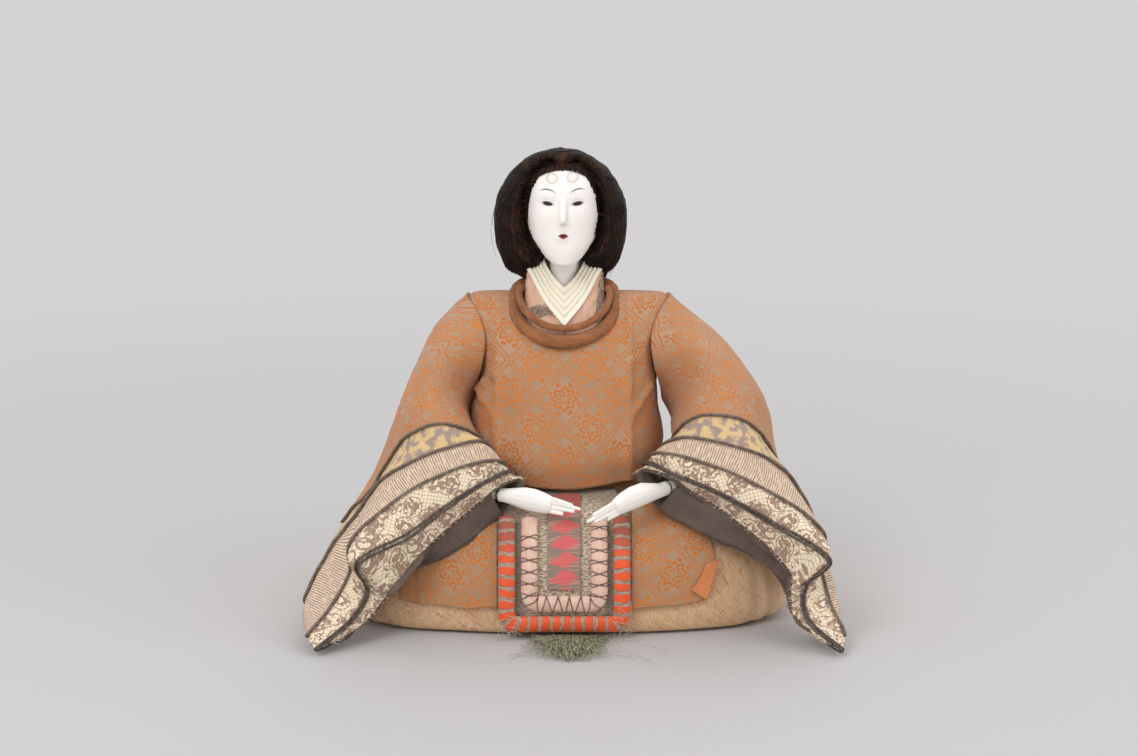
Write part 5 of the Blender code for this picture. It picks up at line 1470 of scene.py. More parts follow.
def on_lap(across, up, lift):
    """A point on the lap's front, lifted off it along its normal."""
    step = CLOTH / 4

    def front(x, z):
        reach = lap_reach_at(z / LAP_HEIGHT)
        inside = np.clip(1 - (np.abs(x) / (LAP_HALF_WIDTH * reach)) ** LAP_CORNER, 0, 1)
        return -LAP_FRONT * reach * inside ** (1 / LAP_CORNER)

    depth = front(across, up)
    sideways = (front(across + step, up) - front(across - step, up)) / step / 2
    upwards = (front(across, up + step) - front(across, up - step)) / step / 2
    normal = unit(np.stack([sideways, -np.ones_like(depth), upwards], axis=-1))
    return np.stack([across, depth, up], axis=-1) + normal * np.asarray(lift)[..., None]


def lap(straw):
    rings = []
    for reach, height in fine_rows(LAP_SHARES, LAP_GRID[0]):
        ring = oval(LAP_HALF_WIDTH * reach, LAP_FRONT * reach, LAP_BACK * reach, LAP_CORNER, LAP_GRID[1])
        ring[:, 2] = LAP_HEIGHT * height
        rings.append(ring)
    rings = np.array(rings)
    normals = grid_normals(rings)
    x, y, z = rings[..., 0], rings[..., 1], rings[..., 2]
    corner = smooth_step((np.abs(x) - LAP_HALF_WIDTH * 0.72) / (LAP_HALF_WIDTH * 0.2))
    low = smooth_step((LAP_HEIGHT * 0.75 - z) / (LAP_HEIGHT * 0.5))
    around = np.arctan2(y / LAP_FRONT, x / LAP_HALF_WIDTH)
    pleat = np.sin(around * PLEAT_COUNT + rumple(rings, LAP_HEIGHT, 2) * 1.5)
    inward = (pleat - 1) * PLEAT_DEPTH * corner * low + (rumple(rings, LAP_HEIGHT * 0.5, 4) - 1) * GAP
    rings = rings + normals * inward[..., None]
    hole = oval(LAP_HOLE, LAP_HOLE, LAP_HOLE, 2, rings.shape[1]) + (0, 0, LAP_HEIGHT)
    top = [rings[-1] + (hole - rings[-1]) * share for share in np.linspace(0.1, 1, 10)]
    points = np.concatenate([rings, top])
    nodes, rests_on = ["under_skirt"], ["lap_stuffing"]
    robe("under_skirt_cloth", points, CLOTH / 2, straw, nodes, closed=True)


def lap_sheet(name, corners, lift, paint, nodes, grid=SHEET_GRID, wave=0.0, seed=1):
    """A cloth lying on the lap's front, whose outline is given in rows of two ends."""
    ends = fine_rows(corners, grid[0])
    span = np.linspace(0, 1, grid[1])
    across = ends[:, 0, 0][:, None] * (1 - span) + ends[:, 1, 0][:, None] * span
    up = ends[:, 0, 1][:, None] * (1 - span) + ends[:, 1, 1][:, None] * span
    flat = np.stack([across, across * 0, up], axis=-1)
    edge = rumple(flat, LAP_HEIGHT * 0.4, seed + 20) * THREAD * 1.5
    rise = (rumple(flat, LAP_HEIGHT * 0.45, seed) + 1) / 2 * wave
    points = on_lap(across, up + edge, lift + CLOTH + rise)
    robe(name, points, CLOTH, paint, nodes, towards=(0, -1, 0))
    return points


def lap_cloths(silk, orange, piping):
    sizes = (LAP_HALF_WIDTH, LAP_HEIGHT)
    for side, shares, column in (("right", RIGHT_FLAP_SHARES, -1), ("left", LEFT_FLAP_SHARES, 0)):
        points = lap_sheet(
            side + "_front_flap_cloth", placed(shares, *sizes), FLAP_LIFT, silk, [side + "_front_flap"],
            wave=CLOTH * 0.7, seed=len(side)
        )
        line = points[:, column] + (0, -PIPING_RADIUS / 3, 0)
        strands(side + "_front_flap_edge", [line], PIPING_RADIUS * 0.7, piping, "body", 2)
    lap_sheet(
        "orange_lining_cloth", placed(TURNED_SHARES, *sizes), FLAP_LIFT + CLOTH + GAP * 2, orange,
        ["orange_lining"], (30, 20), CLOTH * 0.5, 9
    )


def roll_line(across, foot, turn):
    half = [(across, PANEL_TOP + (foot - PANEL_TOP) * share / 3) for share in range(3)]
    half += [(across, foot + turn), (across - turn * 0.3, foot + turn * 0.3), (across - turn, foot)]
    half += [(across / 2 - turn / 2, foot), (0, foot)]
    return np.array(half + [(-x, z) for x, z in half[-2::-1]])


def panel(ground, red, pink, rose, dark, loose):
    """The hanging panel in front of the lap: its backing, padded rolls, threads and centre band."""
    wide = PANEL_HALF_WIDTH
    ends = (
        (PANEL_HEM_SHARE, PANEL_HEM + THREAD * 8),
        (1, PANEL_TOP),
        (1, (PANEL_TOP + PANEL_FOOT) / 2),
        (0.93, PANEL_FOOT + THREAD * 2),
    )
    backing = np.array([((-wide * share, height), (wide * share, height)) for share, height in ends])
    nodes, rests_on = ["panel_backing"], ["under_skirt_cloth"]
    lap_sheet("panel_backing_cloth", backing, BACKING_LIFT, ground, nodes)
    rolls = (
        ("panel_red_roll", wide - RED_ROLL_WIDTH / 2, RED_ROLL_WIDTH, RED_ROLL_DEPTH, red, NET_PITCH, 0.05),
        ("panel_pink_roll", wide / 2 + CLOTH, PINK_ROLL_WIDTH, PINK_ROLL_DEPTH, pink, PUFF_PITCH, 0.14),
    )
    for order, (name, across, width, depth, paint, pitch, swell) in enumerate(rolls):
        foot = PANEL_FOOT + RED_ROLL_WIDTH / 2 + order * (RED_ROLL_WIDTH + CLOTH)
        line = fine_rows(roll_line(across, foot, width * 0.55), 420)
        lift = np.full(len(line), ROLL_LIFT + depth / 2)
        path = on_lap(line[:, 0], line[:, 1], lift)
        lifted = on_lap(line[:, 0], line[:, 1], lift + depth / 2)
        run = np.concatenate([[0], np.cumsum(np.linalg.norm(np.diff(path, axis=0), axis=1))])
        puff = 1 - swell + swell * np.abs(np.sin(run * math.pi / pitch)) ** 0.6
        radii = np.stack([depth / 2 * puff, width / 2 * (0.5 + puff / 2)], axis=1)
        rings = rounded_ends(tube_points(path, radii, 28, lifted - path))
        length = np.concatenate([run[:1], run[:1], run, run[-1:], run[-1:]])
        turn = np.linspace(0, math.pi * width, 29)
        uvs = np.stack(np.broadcast_arrays(turn[None], length[:, None]), axis=-1)
        made = finished(cloth(name + "_cloth", rings, closed=True, uvs=uvs), paint, "body", [name])
        if order:
            lacing(name + "_lacing", path, lifted - path, run, pitch, width, depth, dark)
        else:
            corner_threads(across, foot, loose)
    half = BAND_HALF_WIDTH
    low = PANEL_FOOT + RED_ROLL_WIDTH + PINK_ROLL_WIDTH + CLOTH * 4
    band = np.array([((-half, BAND_TOP), (half, BAND_TOP)), ((-half, low), (half, low))])
    nodes, rests_on = ["panel_centre_band"], ["panel_backing_cloth"]
    lap_sheet("panel_centre_band_cloth", band, ROLL_LIFT, rose, nodes, (90, 40))


def lacing(name, path, outward, run, pitch, width, depth, paint):
    """Threads that cross over a padded roll at each pinch, and splay like legs along its foot."""
    outward = unit(outward)
    tangents = unit(np.gradient(path, axis=0))
    beside = np.cross(tangents, outward)
    chance = np.random.default_rng(12)
    lines = []
    for start in np.arange(pitch, run[-1] - pitch, pitch):
        level = abs(tangents[np.searchsorted(run, start)][2]) < 0.5
        for sign in (-1, 1):
            spread = sign * pitch * LACING_SHARE * chance.uniform(0.7, 1.2)
            line = []
            for turn in np.linspace(-1, 1, 9) * math.pi * 0.47:
                side = math.sin(turn)
                shift = spread * ((1 - side) * 0.5 if level else side * 0.5)
                index = np.searchsorted(run, np.clip(start + shift, 0, run[-1] - THREAD))
                reach = path[index] + outward[index] * math.cos(turn) * (depth / 2 + THREAD * 0.4)
                line.append(reach + beside[index] * side * width / 2)
            lines.append(np.array(line))
    strands(name, lines, THREAD * 0.55, paint, "body", 1)


def corner_threads(across, foot, paint):
    """Pale loose threads where the red roll has worn through at its corners."""
    chance = np.random.default_rng(44)
    lines = []
    for number in range(CORNER_THREADS):
        side = 1 if number % 2 else -1
        spot = np.array((side * across, foot)) + chance.normal(size=2) * RED_ROLL_WIDTH * 0.35
        way = np.array((side * chance.uniform(-0.5, 1), chance.uniform(-0.5, 0.6)))
        bend = chance.normal(size=2) * 0.7
        part = np.linspace(0, 1, 9)[:, None]
        flat = spot + (way * part + bend * part**2) * CORNER_THREAD_LENGTH * chance.uniform(0.3, 1)
        flat[:, 1] = np.maximum(flat[:, 1], THREAD * 2)
        lift = ROLL_LIFT + RED_ROLL_DEPTH + CLOTH + part[:, 0] * THREAD * chance.uniform(0, 5)
        line = on_lap(flat[:, 0], flat[:, 1], lift)
        line[:, 2] = np.maximum(line[:, 2], THREAD)
        lines.append(line)
    strands("panel_corner_threads", lines, THREAD * 0.22, paint, "body")


def tuft(green):
    """Loose silk threads that spread over the floor in front of the panel."""
    shares = fine_rows(TUFT_SHARES, 40)
    chance = np.random.default_rng(31)
    lines = []
    for number in range(TUFT_COUNT + STRAY_COUNT):
        stray = number >= TUFT_COUNT
        side, level = np.clip(chance.normal() * 0.5, -1, 1), chance.uniform(0.05, 0.95)
        end = chance.uniform(0.35, 1) * (1 - abs(side) * 0.2)
        gather = chance.uniform(-0.7, 0.5) if stray else chance.uniform(0.35, 1)
        sway = chance.normal() * TUFT_HALF_WIDTH * (0.45 if stray else 0.25)
        phase = chance.uniform(0, math.pi)
        line = []
        for part in np.linspace(0, end, 14):
            tall = shares[min(int(part * 39.9), 39)]
            x = TUFT_SHIFT - TUFT_HALF_WIDTH * 0.12 + side * TUFT_HALF_WIDTH * (1 - gather * part)
            x = x + sway * (math.sin(part * 4 + phase) - math.sin(phase)) * part
            z = TUFT_HEIGHT * tall * level + GAP * 2
            line.append((x, -(TUFT_BACK + (TUFT_FRONT - TUFT_BACK) * part), z))
        lines.append(np.array(line))
    made = strands("panel_tuft_threads", lines, THREAD * 0.30, green, "body")
    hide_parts("panel_tuft")


def train(silk):
    shares = fine_rows(TRAIN_SHARES, TRAIN_GRID[0])
    span = np.linspace(-1, 1, TRAIN_GRID[1])
    grid = []
    for height, wide, back, spread in shares:
        x = np.sin(span * math.pi / 2) * spread
        y = (1 - np.abs(x) ** LAP_CORNER) ** (1 / LAP_CORNER)
        row = [x * TRAIN_HALF_WIDTH * wide, y * TRAIN_BACK * back, np.full(len(span), TRAIN_TOP * height)]
        grid.append(np.stack(row, axis=1))
    grid = np.array(grid)
    normals = grid_normals(grid, closed=False, towards=(0, 1, 0))
    spread = smooth_step((TRAIN_TOP * 0.6 - grid[..., 2]) / (TRAIN_TOP * 0.4))
    fold = (np.sin(span * TRAIN_FOLDS)[None] + rumple(grid, TRAIN_HALF_WIDTH * 0.6, 6)) * spread * CLOTH
    rise = fold + (rumple(grid, TRAIN_HALF_WIDTH * 0.3, 7) + 1) * CLOTH * 0.4
    under_tail = near(grid[..., 0], 0, TAIL_HALF_WIDTH * 2.4)
    rise = rise * (1 - under_tail) + CLOTH * (1.5 - under_tail * 0.5)
    points = grid + normals * rise[..., None]
    robe("back_train_cloth", points, CLOTH, silk, ["back_train"], towards=(0, 1, 0))


# Head and hair

def head_level(share):
    """Height of a share on the head's scale, which meets the top of the core at the foot share."""
    return CORE_TOP + HEAD_TALL * (share - HEAD_FOOT_SHARE) / (1 - HEAD_FOOT_SHARE)


def soft(distance, width):
    """1 inside, 0 outside, and smooth over a width at the edge."""
    return smooth_step(0.5 - distance / width)


def head(white):
    turn = np.arange(HEAD_GRID[1]) / HEAD_GRID[1]
    angles = -math.pi / 2 + 2 * math.pi * turn - 0.7 * np.sin(2 * math.pi * turn)
    rings = []
    for height, slope, wide, front, back in fine_rows(HEAD_SHARES, HEAD_GRID[0]):
        chin = 1 - CHIN_NARROW * smooth_step((CHIN_LEVEL - height) / CHIN_SPAN) * (height > NECK_LEVEL)
        x = HEAD_HALF_WIDTH * wide * chin * np.cos(angles)
        y = np.sin(angles) * np.where(np.sin(angles) < 0, HEAD_FRONT * front, HEAD_BACK * back)
        x = x + HEAD_SHIFT * np.interp(height, JAW_SHARES, (0, 1))
        rings.append(np.stack([x, y, head_level(height) + slope * y], axis=1))
    points = np.array(rings)
    x, y, z = points[..., 0] - HEAD_SHIFT, points[..., 1], points[..., 2]
    level = share_of_level(z)
    ahead = np.clip(-y / HEAD_FRONT * 3 - 1.6, 0, 1)
    push = np.zeros_like(x)
    ridge = np.exp(-((np.abs(x) / NOSE_WIDTH * 1.15) ** 2.6))
    for share, amount in NOSE_SHARES:
        push += np.exp(-(((level - share) / FEATURE_SHARE) ** 2)) * ridge * NOSE_DEPTH * amount * 1.15
    for sign in (-1, 1):
        across = (x - sign * HEAD_HALF_WIDTH * EYE_SPREAD_SHARE) / (NOSE_WIDTH * 2)
        push -= np.exp(-(across**2) - ((level - EYE_SHARE) / FEATURE_SHARE) ** 2) * EYE_HOLLOW
    lips = (x / (NOSE_WIDTH * 1.4)) ** 2 + ((level - LIP_SHARE) / FEATURE_SHARE) ** 2
    parting = np.exp(-((x / NOSE_WIDTH) ** 2) - ((z - MOUTH[1]) / LIP_DEPTH * 2) ** 2)
    push += np.exp(-lips) * LIP_DEPTH - parting * LIP_DEPTH * 0.35
    points[..., 1] -= push * ahead
    colours = face_marks(points[..., 0], points[..., 2], smooth_step(-y / HEAD_FRONT * 3))
    top, foot = points[-1].mean(axis=0), points[0].mean(axis=0)
    points = np.concatenate([[points[0] * 0 + foot], points, [points[-1] * 0 + top]])
    colours = np.concatenate([colours[:1], colours, colours[-1:]])
    made = cloth("head_shape", points, closed=True, colours=colours)
    finished(made, white, "head_group", ["head"])


def face_marks(x, z, front):
    """Ink of eyes and brows, lip colour, and the soft marks with painted shade at the eyelids and nose, for
    every point of the face.
    """
    ink, marks_and_shade = [], []
    for (middle_x, middle_z), outer in ((RIGHT_EYE, -1), (LEFT_EYE, 1)):
        u = (x - middle_x) / EYE_HALF_WIDTH
        arch = np.clip(1 - u**2, 0, 1)
        slant = (u * outer) * LINE * 0.8
        upper = middle_z + arch * EYE_HALF_HEIGHT * 1.1 + slant
        lower = middle_z - arch * EYE_HALF_HEIGHT * 0.9 + slant * 0.6
        # The fourth line is painted shade in the lid crease above each eye.
        for shape, length, dark, marks in (
            (np.maximum(z - upper, lower - z), IRIS_SHARE, 1, ink),
            (np.abs(z - upper) - LINE * 0.55, 1, 1, ink),
            (np.abs(z - lower) - LINE * 0.2, 0.95, 0.55, ink),
            (np.abs(z - upper - LINE * 4) - LINE * 0.3, 0.8, 0.6, marks_and_shade),
        ):
            past = (np.abs(u) - length) * EYE_HALF_WIDTH
            marks.append(soft(np.maximum(shape, past), LINE) * dark)
    for brow in (RIGHT_BROW, LEFT_BROW):
        across = [spot[0] for spot in brow]
        curve = np.polyfit(across, [spot[1] for spot in brow], 2)
        low, high = min(across), max(across)
        taper = np.clip(1 - ((2 * x - high - low) / (high - low)) ** 2, 0.15, 1)
        thin = np.abs(z - np.polyval(curve, x)) - LINE * 1.15 * taper
        ink.append(soft(np.maximum(thin, np.maximum(x - high, low - x)), LINE) * 0.85)
    for middle_x, middle_z in BROW_MARKS:
        reach = np.hypot(x - middle_x, (z - middle_z) * BROW_MARK_SQUEEZE)
        marks_and_shade.append(near(reach, BROW_MARK_RADIUS, BROW_MARK_RADIUS * 0.34) * 0.55)
        marks_and_shade.append(soft(reach - BROW_MARK_RADIUS, LINE) * 0.22)
    x = x - MOUTH[0]
    u, v = x / MOUTH_HALF_WIDTH, z - MOUTH[1]
    arch = np.clip(1 - np.abs(u) ** 1.6, 0, 1)
    upper = arch * MOUTH_HEIGHT * 0.52 - near(u, 0, 0.16) * LINE * 1.2 - (1 - arch) * LINE
    lower = -(np.clip(1 - np.abs(u) * 1.1, 0, 1) ** 0.8) * MOUTH_HEIGHT * 0.5
    past = (np.abs(u) - 1) * MOUTH_HALF_WIDTH
    lips = soft(np.maximum(np.maximum(v - upper, lower - v), past), LINE)
    gap = np.abs(v - LINE + np.abs(u) * LINE * 1.5) - LINE * 0.8
    ink.append(soft(np.maximum(gap, (np.abs(u) - 0.85) * MOUTH_HALF_WIDTH), LINE) * 0.75)
    # Painted shadows in the nostrils, painted shade down the sides of the nose, darker on the +X side away
    # from the front light, and painted shade under the nose tip.
    for side, dark in ((-1, 0.16), (1, 0.30)):
        hole = np.hypot(x - side * NOSTRIL_SPREAD, (z - NOSTRIL_HEIGHT) * 1.6) - LINE * 0.9
        marks_and_shade.append(soft(hole, LINE * 1.5) * 0.9)
        bridge = near(x, side * NOSTRIL_SPREAD * 1.5, LINE * 2)
        marks_and_shade.append(bridge * near(z, NOSTRIL_HEIGHT * 1.03, LINE * 20) * dark)
    tip = near(z, NOSTRIL_HEIGHT - LINE, LINE * 2) * near(x, 0, NOSTRIL_SPREAD * 1.8)
    marks_and_shade.append(tip * 0.38)
    stains = rumple(np.stack([x + MOUTH[0], x * 0, z], axis=-1), BROW_MARK_RADIUS * 1.3, 3)
    marks_and_shade.append(near(stains, 1.0, 0.2) * 0.12)
    return np.stack([np.max(ink, axis=0), lips, np.max(marks_and_shade, axis=0)], axis=-1) * front[..., None]


def hair_at(shares, share):
    """Half-width, front and back reach of the hair at a height share."""
    return (np.interp(share, shares[:, 0], shares[:, column]) for column in (1, 2, 3))


def share_of_level(z):
    return HEAD_FOOT_SHARE + (z - CORE_TOP) * (1 - HEAD_FOOT_SHARE) / HEAD_TALL


def turn_and_reach(x, z):
    """Polar place round the face's middle, with the turn counted from straight up."""
    x, up = np.abs(x - HEAD_SHIFT), z - FACE_MIDDLE
    return np.arctan2(x, up), np.hypot(x, up)


def face_edge(turn):
    """Reach of the hairline from the face's middle."""
    outline = np.array(FACE_OPENING)
    turns, reaches = turn_and_reach(outline[:, 0] + HEAD_SHIFT, outline[:, 1])
    return np.interp(turn, turns, reaches)


def hair_edge(shares, turn, side):
    """Reach of the hair's own outline from the face's middle."""
    x = HAIR_SHIFT + side * shares[:, 1] * HAIR_HALF_WIDTH
    turns, reaches = turn_and_reach(x, head_level(shares[:, 0]))
    order = np.argsort(turns)
    return np.interp(turn, turns[order], reaches[order])


def head_depth(x, z):
    """How far forward the head itself reaches."""
    fine = fine_rows(HEAD_SHARES, 120)
    level = share_of_level(z)
    wide = np.interp(level, fine[:, 0], fine[:, 2]) * HEAD_HALF_WIDTH
    front = np.interp(level, fine[:, 0], fine[:, 3]) * HEAD_FRONT
    return -front * np.sqrt(np.clip(1 - ((x - HEAD_SHIFT) / wide) ** 2, 0, 1))


def hair_depth(shares, x, z):
    """Front of the hair, which sinks to the head along the hairline."""
    wide, front, _ = hair_at(shares, share_of_level(z))
    inside = np.clip(1 - np.abs((x - HAIR_SHIFT) / (wide * HAIR_HALF_WIDTH)) ** HAIR_CORNER, 0, 1)
    full = -front * HAIR_FRONT * inside ** (1 / HAIR_CORNER)
    turn, reach = turn_and_reach(x, z)
    away = smooth_step((reach - face_edge(turn)) / HAIR_RISE) ** 0.7
    low = head_depth(x, z) - HAIR_WAVE * 2.5
    return low + (full - low) * away


def in_face(spots, margin=0.0):
    turn, reach = turn_and_reach(spots[:, 0], spots[:, 2])
    return (reach < face_edge(turn) - margin) & (spots[:, 1] < 0)


def hair(dark, brown, rust, paper):
    shares = fine_rows(HAIR_LOOK_SHARES, HAIR_GRID[0])
    rings = []
    for level, wide, front, back in shares:
        ring = oval(HAIR_HALF_WIDTH * wide, HAIR_FRONT * front, HAIR_BACK * back, HAIR_CORNER, HAIR_GRID[1])
        ring[:, 0] += HAIR_SHIFT
        ring[:, 2] = head_level(level)
        rings.append(ring)
    points = np.array(rings)
    ahead = points[..., 1] < 0
    depth = hair_depth(shares, points[..., 0], points[..., 2])
    points[..., 1] = np.where(ahead, depth, points[..., 1])
    normals = grid_normals(points)
    points = points + normals * (rumple(points, HAIR_HALF_WIDTH / 3, 2) * HAIR_WAVE)[..., None]
    top = points[-1].mean(axis=0)
    points = np.concatenate([points, [points[-1] * 0 + top]])
    nape = HAIR_BACK * 0.5

    def open_part(spots):
        return in_face(spots, HAIR_WAVE) | ((spots[:, 1] > nape) & (spots[:, 2] < TAIL_TOP + GAP))

    shell = dropped(cloth("hair_cap_shape", points, HAIR_WAVE * 3, closed=True), open_part)
    finished(shell, dark, "head_group", ["hair_cap"])
    chance = np.random.default_rng(17)
    tail_top = tail_rings(fine_rows(TAIL_SHARES, TAIL_GRID[0]))
    groups = [[], [], []]
    for number in range(HAIR_COUNT):
        back = number % 4 == 0
        line = back_hair(shares, tail_top, chance) if back else front_hair(shares, chance)
        fade = 0.10 if back else np.clip(line[:, 2].min() - FACE_MIDDLE, -0.03, 0) * 3
        tone = chance.uniform(0, 1) + fade
        groups[0 if tone < 0.46 else 1 if tone < 0.81 else 2].append(line)
    for number, (lines, paint) in enumerate(zip(groups, (dark, brown, rust))):
        strands(f"hair_strands_{number}", lines, HAIR_STRAND, paint, "head_group")
    flying(shares, brown, chance)
    tail(dark, brown, paper)


def front_hair(shares, chance):
    """A hair that leaves the hairline, fans out over the front and hangs beside the face."""
    side = chance.choice((-1, 1))
    start = chance.uniform(0, 1.9) * chance.uniform(0, 1)
    end = chance.uniform(2.2, 2.75)
    spread = chance.uniform(0, 1) ** 0.8
    part = np.linspace(0, 1, HAIR_POINTS)
    turn = start + (end - start) * part
    rise = spread * (1 - np.exp(-3.2 * part)) / (1 - math.exp(-3.2))
    if chance.uniform(0, 1) < CROWN_SHARE:
        turn, rise = chance.normal() * 0.45 + part * chance.uniform(-0.1, 0.5), part
    inner, outer = face_edge(turn), hair_edge(shares, turn, side)
    reach = inner + (outer - inner) * np.clip(rise + chance.uniform(0, 0.02), 0, 0.985)
    x = HEAD_SHIFT + side * np.sin(turn) * reach
    z = FACE_MIDDLE + np.cos(turn) * reach
    wave = rumple(np.stack([x, x * 0, z], axis=1), HAIR_HALF_WIDTH / 3, 2) * HAIR_WAVE
    y = hair_depth(shares, x, z) - wave - chance.uniform(0.2, 1.6) * HAIR_WAVE
    return np.stack([x, y, z], axis=1)


def back_hair(shares, tail, chance):
    """A hair that is combed from the crown down over the back, and on into the tail near its middle."""
    side = chance.choice((-1, 1))
    part = np.linspace(0, 1, HAIR_POINTS)
    level = 1.015 + (chance.uniform(0.74, 0.79) - 1.015) * part**1.25
    sweep = 1 + (math.sin(chance.uniform(-0.1, math.pi / 2)) - 1) * (1 - (1 - part) ** 1.8)
    wide, front, rear = hair_at(shares, level)
    y = np.where(sweep < 0, sweep * front * HAIR_FRONT, sweep * rear * HAIR_BACK)
    x = side * wide * HAIR_HALF_WIDTH * np.clip(1 - np.abs(sweep) ** HAIR_CORNER, 0, 1) ** (1 / HAIR_CORNER)
    line = np.stack([x + HAIR_SHIFT, y, head_level(level)], axis=1)
    outward = unit(line - (HAIR_SHIFT, 0, FACE_MIDDLE))
    wave = rumple(line, HAIR_HALF_WIDTH / 3, 2) * HAIR_WAVE
    line = line + outward * (wave + chance.uniform(0.2, 1.6) * HAIR_WAVE)[:, None]
    if sweep[-1] < NAPE_SWEEP:
        return line
    share = np.clip((line[-1][0] - HAIR_SHIFT) / (HAIR_HALF_WIDTH * NAPE_SWEEP), -0.97, 0.97)
    ring = tail[chance.integers(8, 24)]
    side_of_ring = ring[:, 0] - share * ring[:, 0].max()
    spot = ring[np.argmin(np.abs(side_of_ring) + (ring[:, 1] < ring[:, 1].mean()))] + (0, HAIR_WAVE, 0)
    bend = np.array([line[-1] + (spot - line[-1]) * step for step in (0.35, 0.7, 1)])
    return np.concatenate([line, bend])


def flying(shares, paint, chance):
    """Short fuzz along the hair's outline and a few long loose hairs."""
    lines = []
    for number in range(FUZZ_COUNT + FLYAWAY_COUNT):
        side = chance.choice((-1, 1))
        loose = number >= FUZZ_COUNT
        turn = chance.uniform(0.9, 2.3) if loose else chance.uniform(0, 2.5)
        reach = hair_edge(shares, turn, side)
        out = np.array((side * math.sin(turn), 0, math.cos(turn)))
        along = np.array((side * math.cos(turn), 0, -math.sin(turn)))
        start = (HEAD_SHIFT, chance.uniform(-0.3, 0.5) * HAIR_FRONT, FACE_MIDDLE) + out * reach * 0.975
        length = HAIR_HALF_WIDTH * (chance.uniform(0.3, 0.9) if loose else chance.uniform(0.05, 0.14))
        way = along + out * chance.uniform(0.1, 0.6)
        bend = out * chance.uniform(-1.3, -0.3) + (0, chance.uniform(-0.4, 0.4), -0.3)
        part = np.linspace(0, 1, 9)[:, None]
        lines.append(start + (way * part + bend * part**2) * length)
    strands("hair_flyaways", lines, HAIR_STRAND * 0.5, paint, "head_group")


def tail_rings(shares, growth=0.0):
    rings = []
    for height, wide, setback, depth in shares:
        half = TAIL_DEPTH * depth / 2
        deep = half + growth
        ring = oval(TAIL_HALF_WIDTH * wide + growth, deep, deep, TAIL_CORNER, TAIL_GRID[1])
        rings.append(ring + (0, TAIL_SETBACK * setback + half, TAIL_TOP * height))
    return np.array(rings)


def tail(dark, brown, paper):
    rows, columns = TAIL_GRID
    rings = tail_rings(fine_rows(TAIL_SHARES, rows))
    normals = grid_normals(rings)
    furrows = np.abs(np.sin(np.arange(columns) * 1.7 + 0.4))[None, :, None] * HAIR_WAVE
    made = cloth("hair_tail_shape", rounded_ends(rings - normals * furrows), closed=True)
    finished(made, dark, "head_group", ["hair_tail"])
    chance = np.random.default_rng(5)
    lines = []
    for _ in range(TAIL_COUNT):
        column = chance.integers(0, columns)
        drift = chance.uniform(-3, 3)
        row = np.arange(0, chance.integers(rows - 20, rows), 6)
        place = (column + drift * row / rows).astype(int) % columns
        lines.append(rings[row, place] + normals[row, column] * HAIR_WAVE / 3)
    strands("hair_tail_strands", lines, HAIR_STRAND, brown, "head_group")
    heights = [share[0] for share in TAIL_SHARES]
    tops = np.linspace(TIE_SHARE + TIE_HEIGHT / TAIL_TOP, TIE_SHARE, 16)
    places = np.interp(-tops, [-height for height in heights], range(len(heights)))
    rings = tail_rings(blended(TAIL_SHARES, places), GAP + TIE_DEPTH)
    robe(
        "hair_tie_paper", rings, TIE_DEPTH * 0.8, paper, ["hair_tie"],
        closed=True, body="head_group"
    )


# Hands and the soft parts inside

def hands(white):
    for side in ("right", "left"):
        made = remeshed(merged_copy(side + "_hand", side + "_hand_shape"), HAND_VOXEL, 4)
        finished(made, white, side + "_hand_body", [side + "_hand"])


def stuffing(wadding):
    for node in ("right_arm_wrap", "left_arm_wrap", "body_padding", "lap_stuffing"):
        voxel = 1 if "arm" in node else 2
        copy = merged_copy(node, node + "_wadding")
        made = remeshed(copy, CLOTH * voxel, 6, GAP / 2, ROLL_RADIUS * 2, voxel)
        finished(made, wadding, "body", [node])


def bindings(cord):
    """The cords wound round the straw core."""
    for level in ("lower", "middle", "upper"):
        node = "core_binding_" + level
        low, high = (np.array(corner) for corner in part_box(node))
        reach = (high[0] - low[0]) / 2 - CORD_RADIUS
        turns = max(2, int((high[2] - low[2]) / CORD_RADIUS / 2))
        angles = np.linspace(0, turns * 2 * math.pi, turns * 32)
        rise = np.linspace(low[2] + CORD_RADIUS, high[2] - CORD_RADIUS, len(angles))
        line = np.stack([reach * np.cos(angles), reach * np.sin(angles), rise], axis=1)
        made = strands(node + "_cord", [line], CORD_RADIUS, cord, "body", 2)
        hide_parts(node)


# Kept parts, stage and camera

def keep_finishes(looks):
    """Gives the solids that stay as they are their own materials."""
    for node, paint in looks.items():
        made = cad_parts[node]
        for slot in made.material_slots:
            slot.material = paint


def stage():
    ends = (-FLOOR_REACH, FLOOR_REACH)
    corners = np.array([[(x, y, 0.0) for x in ends] for y in ends[::-1]])
    plane = cloth("floor", corners, towards=(0, 0, 1))
    plane.data.materials.append(floor_finish())
    room()
    for name, place, size, power in LIGHTS:
        light = bpy.data.lights.new(name, "AREA")
        light.size = size
        light.energy = power
        lamp = bpy.data.objects.new(name, light)
        bpy.context.scene.collection.objects.link(lamp)
        lamp.location = place
        lamp.rotation_euler = (Vector(LOOK_AT) - Vector(place)).to_track_quat("-Z", "Y").to_euler()
    data = bpy.data.cameras.new("camera")
    data.lens = LENS
    data.sensor_width = SENSOR_WIDTH
    camera = bpy.data.objects.new("camera", data)
    bpy.context.scene.collection.objects.link(camera)
    rise = math.radians(CAMERA_RISE)
    way = Vector((0, -math.cos(rise), math.sin(rise)))
    camera.location = Vector(LOOK_AT) + way * CAMERA_DISTANCE
    camera.rotation_euler = (-way).to_track_quat("-Z", "Y").to_euler()
    bpy.context.scene.camera = camera
    bpy.context.scene.view_settings.view_transform = "Standard"


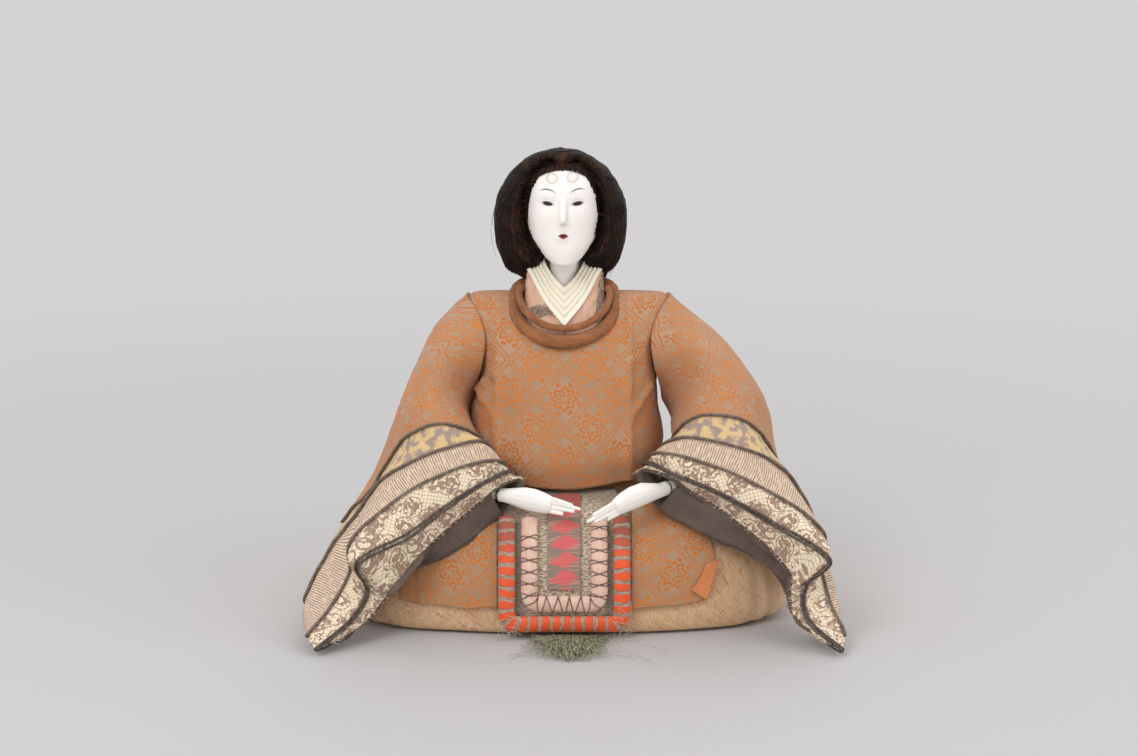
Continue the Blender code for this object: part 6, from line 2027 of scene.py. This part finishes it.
silk = brocade()
cream = cream_brocade()
grey = plain_cloth("grey lining", (0.112, 0.080, 0.062), (0.165, 0.124, 0.100))
piping = thread_finish("piping", (0.13, 0.10, 0.08), (0.22, 0.17, 0.14))
braid = thread_finish("dark braid", (0.06, 0.045, 0.038), (0.14, 0.11, 0.09))
SLEEVE_CLOTHS = (
    ("sleeve", silk, 0.0, 0.0),
    ("cuff_gold", gold_band(), 0.25, 0.0),
    ("cuff_ribbed", ribbed_band(), 0.25, 0.0),
    ("cuff_cream", cream, 0.25, 0.0),
    ("cuff_inner_cream", cream, 1.25, 0.22),
    ("sleeve_lining", grey, 2.25, 0.50),
)
sleeve("right", RIGHT_SLEEVE_SHARES, piping, braid, grey)
sleeve("left", LEFT_SLEEVE_SHARES, piping, braid, grey)
rust_silk = plain_cloth("neckline silk", (0.19, 0.080, 0.033), (0.45, 0.165, 0.060))
faded_pink = plain_cloth("faded pink silk", (0.74, 0.43, 0.29), (0.92, 0.64, 0.47), pitch=THREAD * 1.5)
ivory = plain_cloth("ivory paper silk", (0.95, 0.87, 0.71), (1.0, 0.95, 0.81))
# Painted shadow lines for the steps between the collar's layers.
collar_shadow_line = thread_finish("collar edge", (0.66, 0.55, 0.38), (0.84, 0.74, 0.55), 0.8)
dusty_threads = thread_finish("dusty threads", (0.26, 0.19, 0.15), (0.48, 0.38, 0.30), 0.9)
trunk(silk, rust_silk, faded_pink, ivory, collar_shadow_line, dusty_threads)
lap(straw_weave())
lap_cloths(silk, plain_cloth("orange silk", (0.62, 0.19, 0.06), (0.80, 0.30, 0.11), 0.5), piping)
pale_pink = plain_cloth("pale pink silk", (0.72, 0.44, 0.33), (0.90, 0.64, 0.52), 0.55)
dark_thread = thread_finish("dark thread", (0.10, 0.07, 0.06), (0.20, 0.14, 0.12))
loose_thread = thread_finish("loose thread", (0.52, 0.42, 0.30), (0.78, 0.68, 0.52))
panel(panel_ground(), netted_roll(), pale_pink, rose_band(), dark_thread, loose_thread)
tuft(thread_finish("green silk threads", (0.22, 0.23, 0.135), (0.50, 0.50, 0.34), 0.6))
train(silk)
head(face_white())
black_hair = hair_finish("black-brown hair", (0.005, 0.004, 0.0035), (0.014, 0.009, 0.007))
brown_hair = hair_finish("brown hair", (0.014, 0.008, 0.006), (0.036, 0.018, 0.011))
rust_hair = hair_finish("rust hair", (0.07, 0.026, 0.012), (0.16, 0.060, 0.024))
paper = thread_finish("tie paper", (0.66, 0.60, 0.48), (0.80, 0.75, 0.64), 0.8)
hair(black_hair, brown_hair, rust_hair, paper)
hands(coloured(*shell_white("white hands")))
stuffing(thread_finish("wadding", (0.66, 0.60, 0.50), (0.82, 0.77, 0.68), 0.95))
bindings(thread_finish("binding cord", (0.30, 0.18, 0.09), (0.45, 0.30, 0.16), 0.8))
softwood = grained("board wood", (0.33, 0.19, 0.09), (0.48, 0.31, 0.17), CLOTH * 3, (0.1, 1, 1), 0.7)
turned_wood = grained("peg wood", (0.42, 0.27, 0.13), (0.58, 0.40, 0.22), CLOTH, (1, 1, 0.1), 0.6)
straw = grained("straw", (0.40, 0.27, 0.11), (0.68, 0.52, 0.27), CLOTH, (1, 1, 0.06), 0.85)
wire = grained("annealed wire", (0.16, 0.15, 0.14), (0.28, 0.26, 0.24), CLOTH, (1, 1, 1), 0.4, 0.9)
kept = {"base_board": softwood, "straw_core": straw, "arm_wire": wire}
for node in ("neck_peg", "right_hand_peg", "left_hand_peg"):
    kept[node] = turned_wood
keep_finishes(kept)
stage()
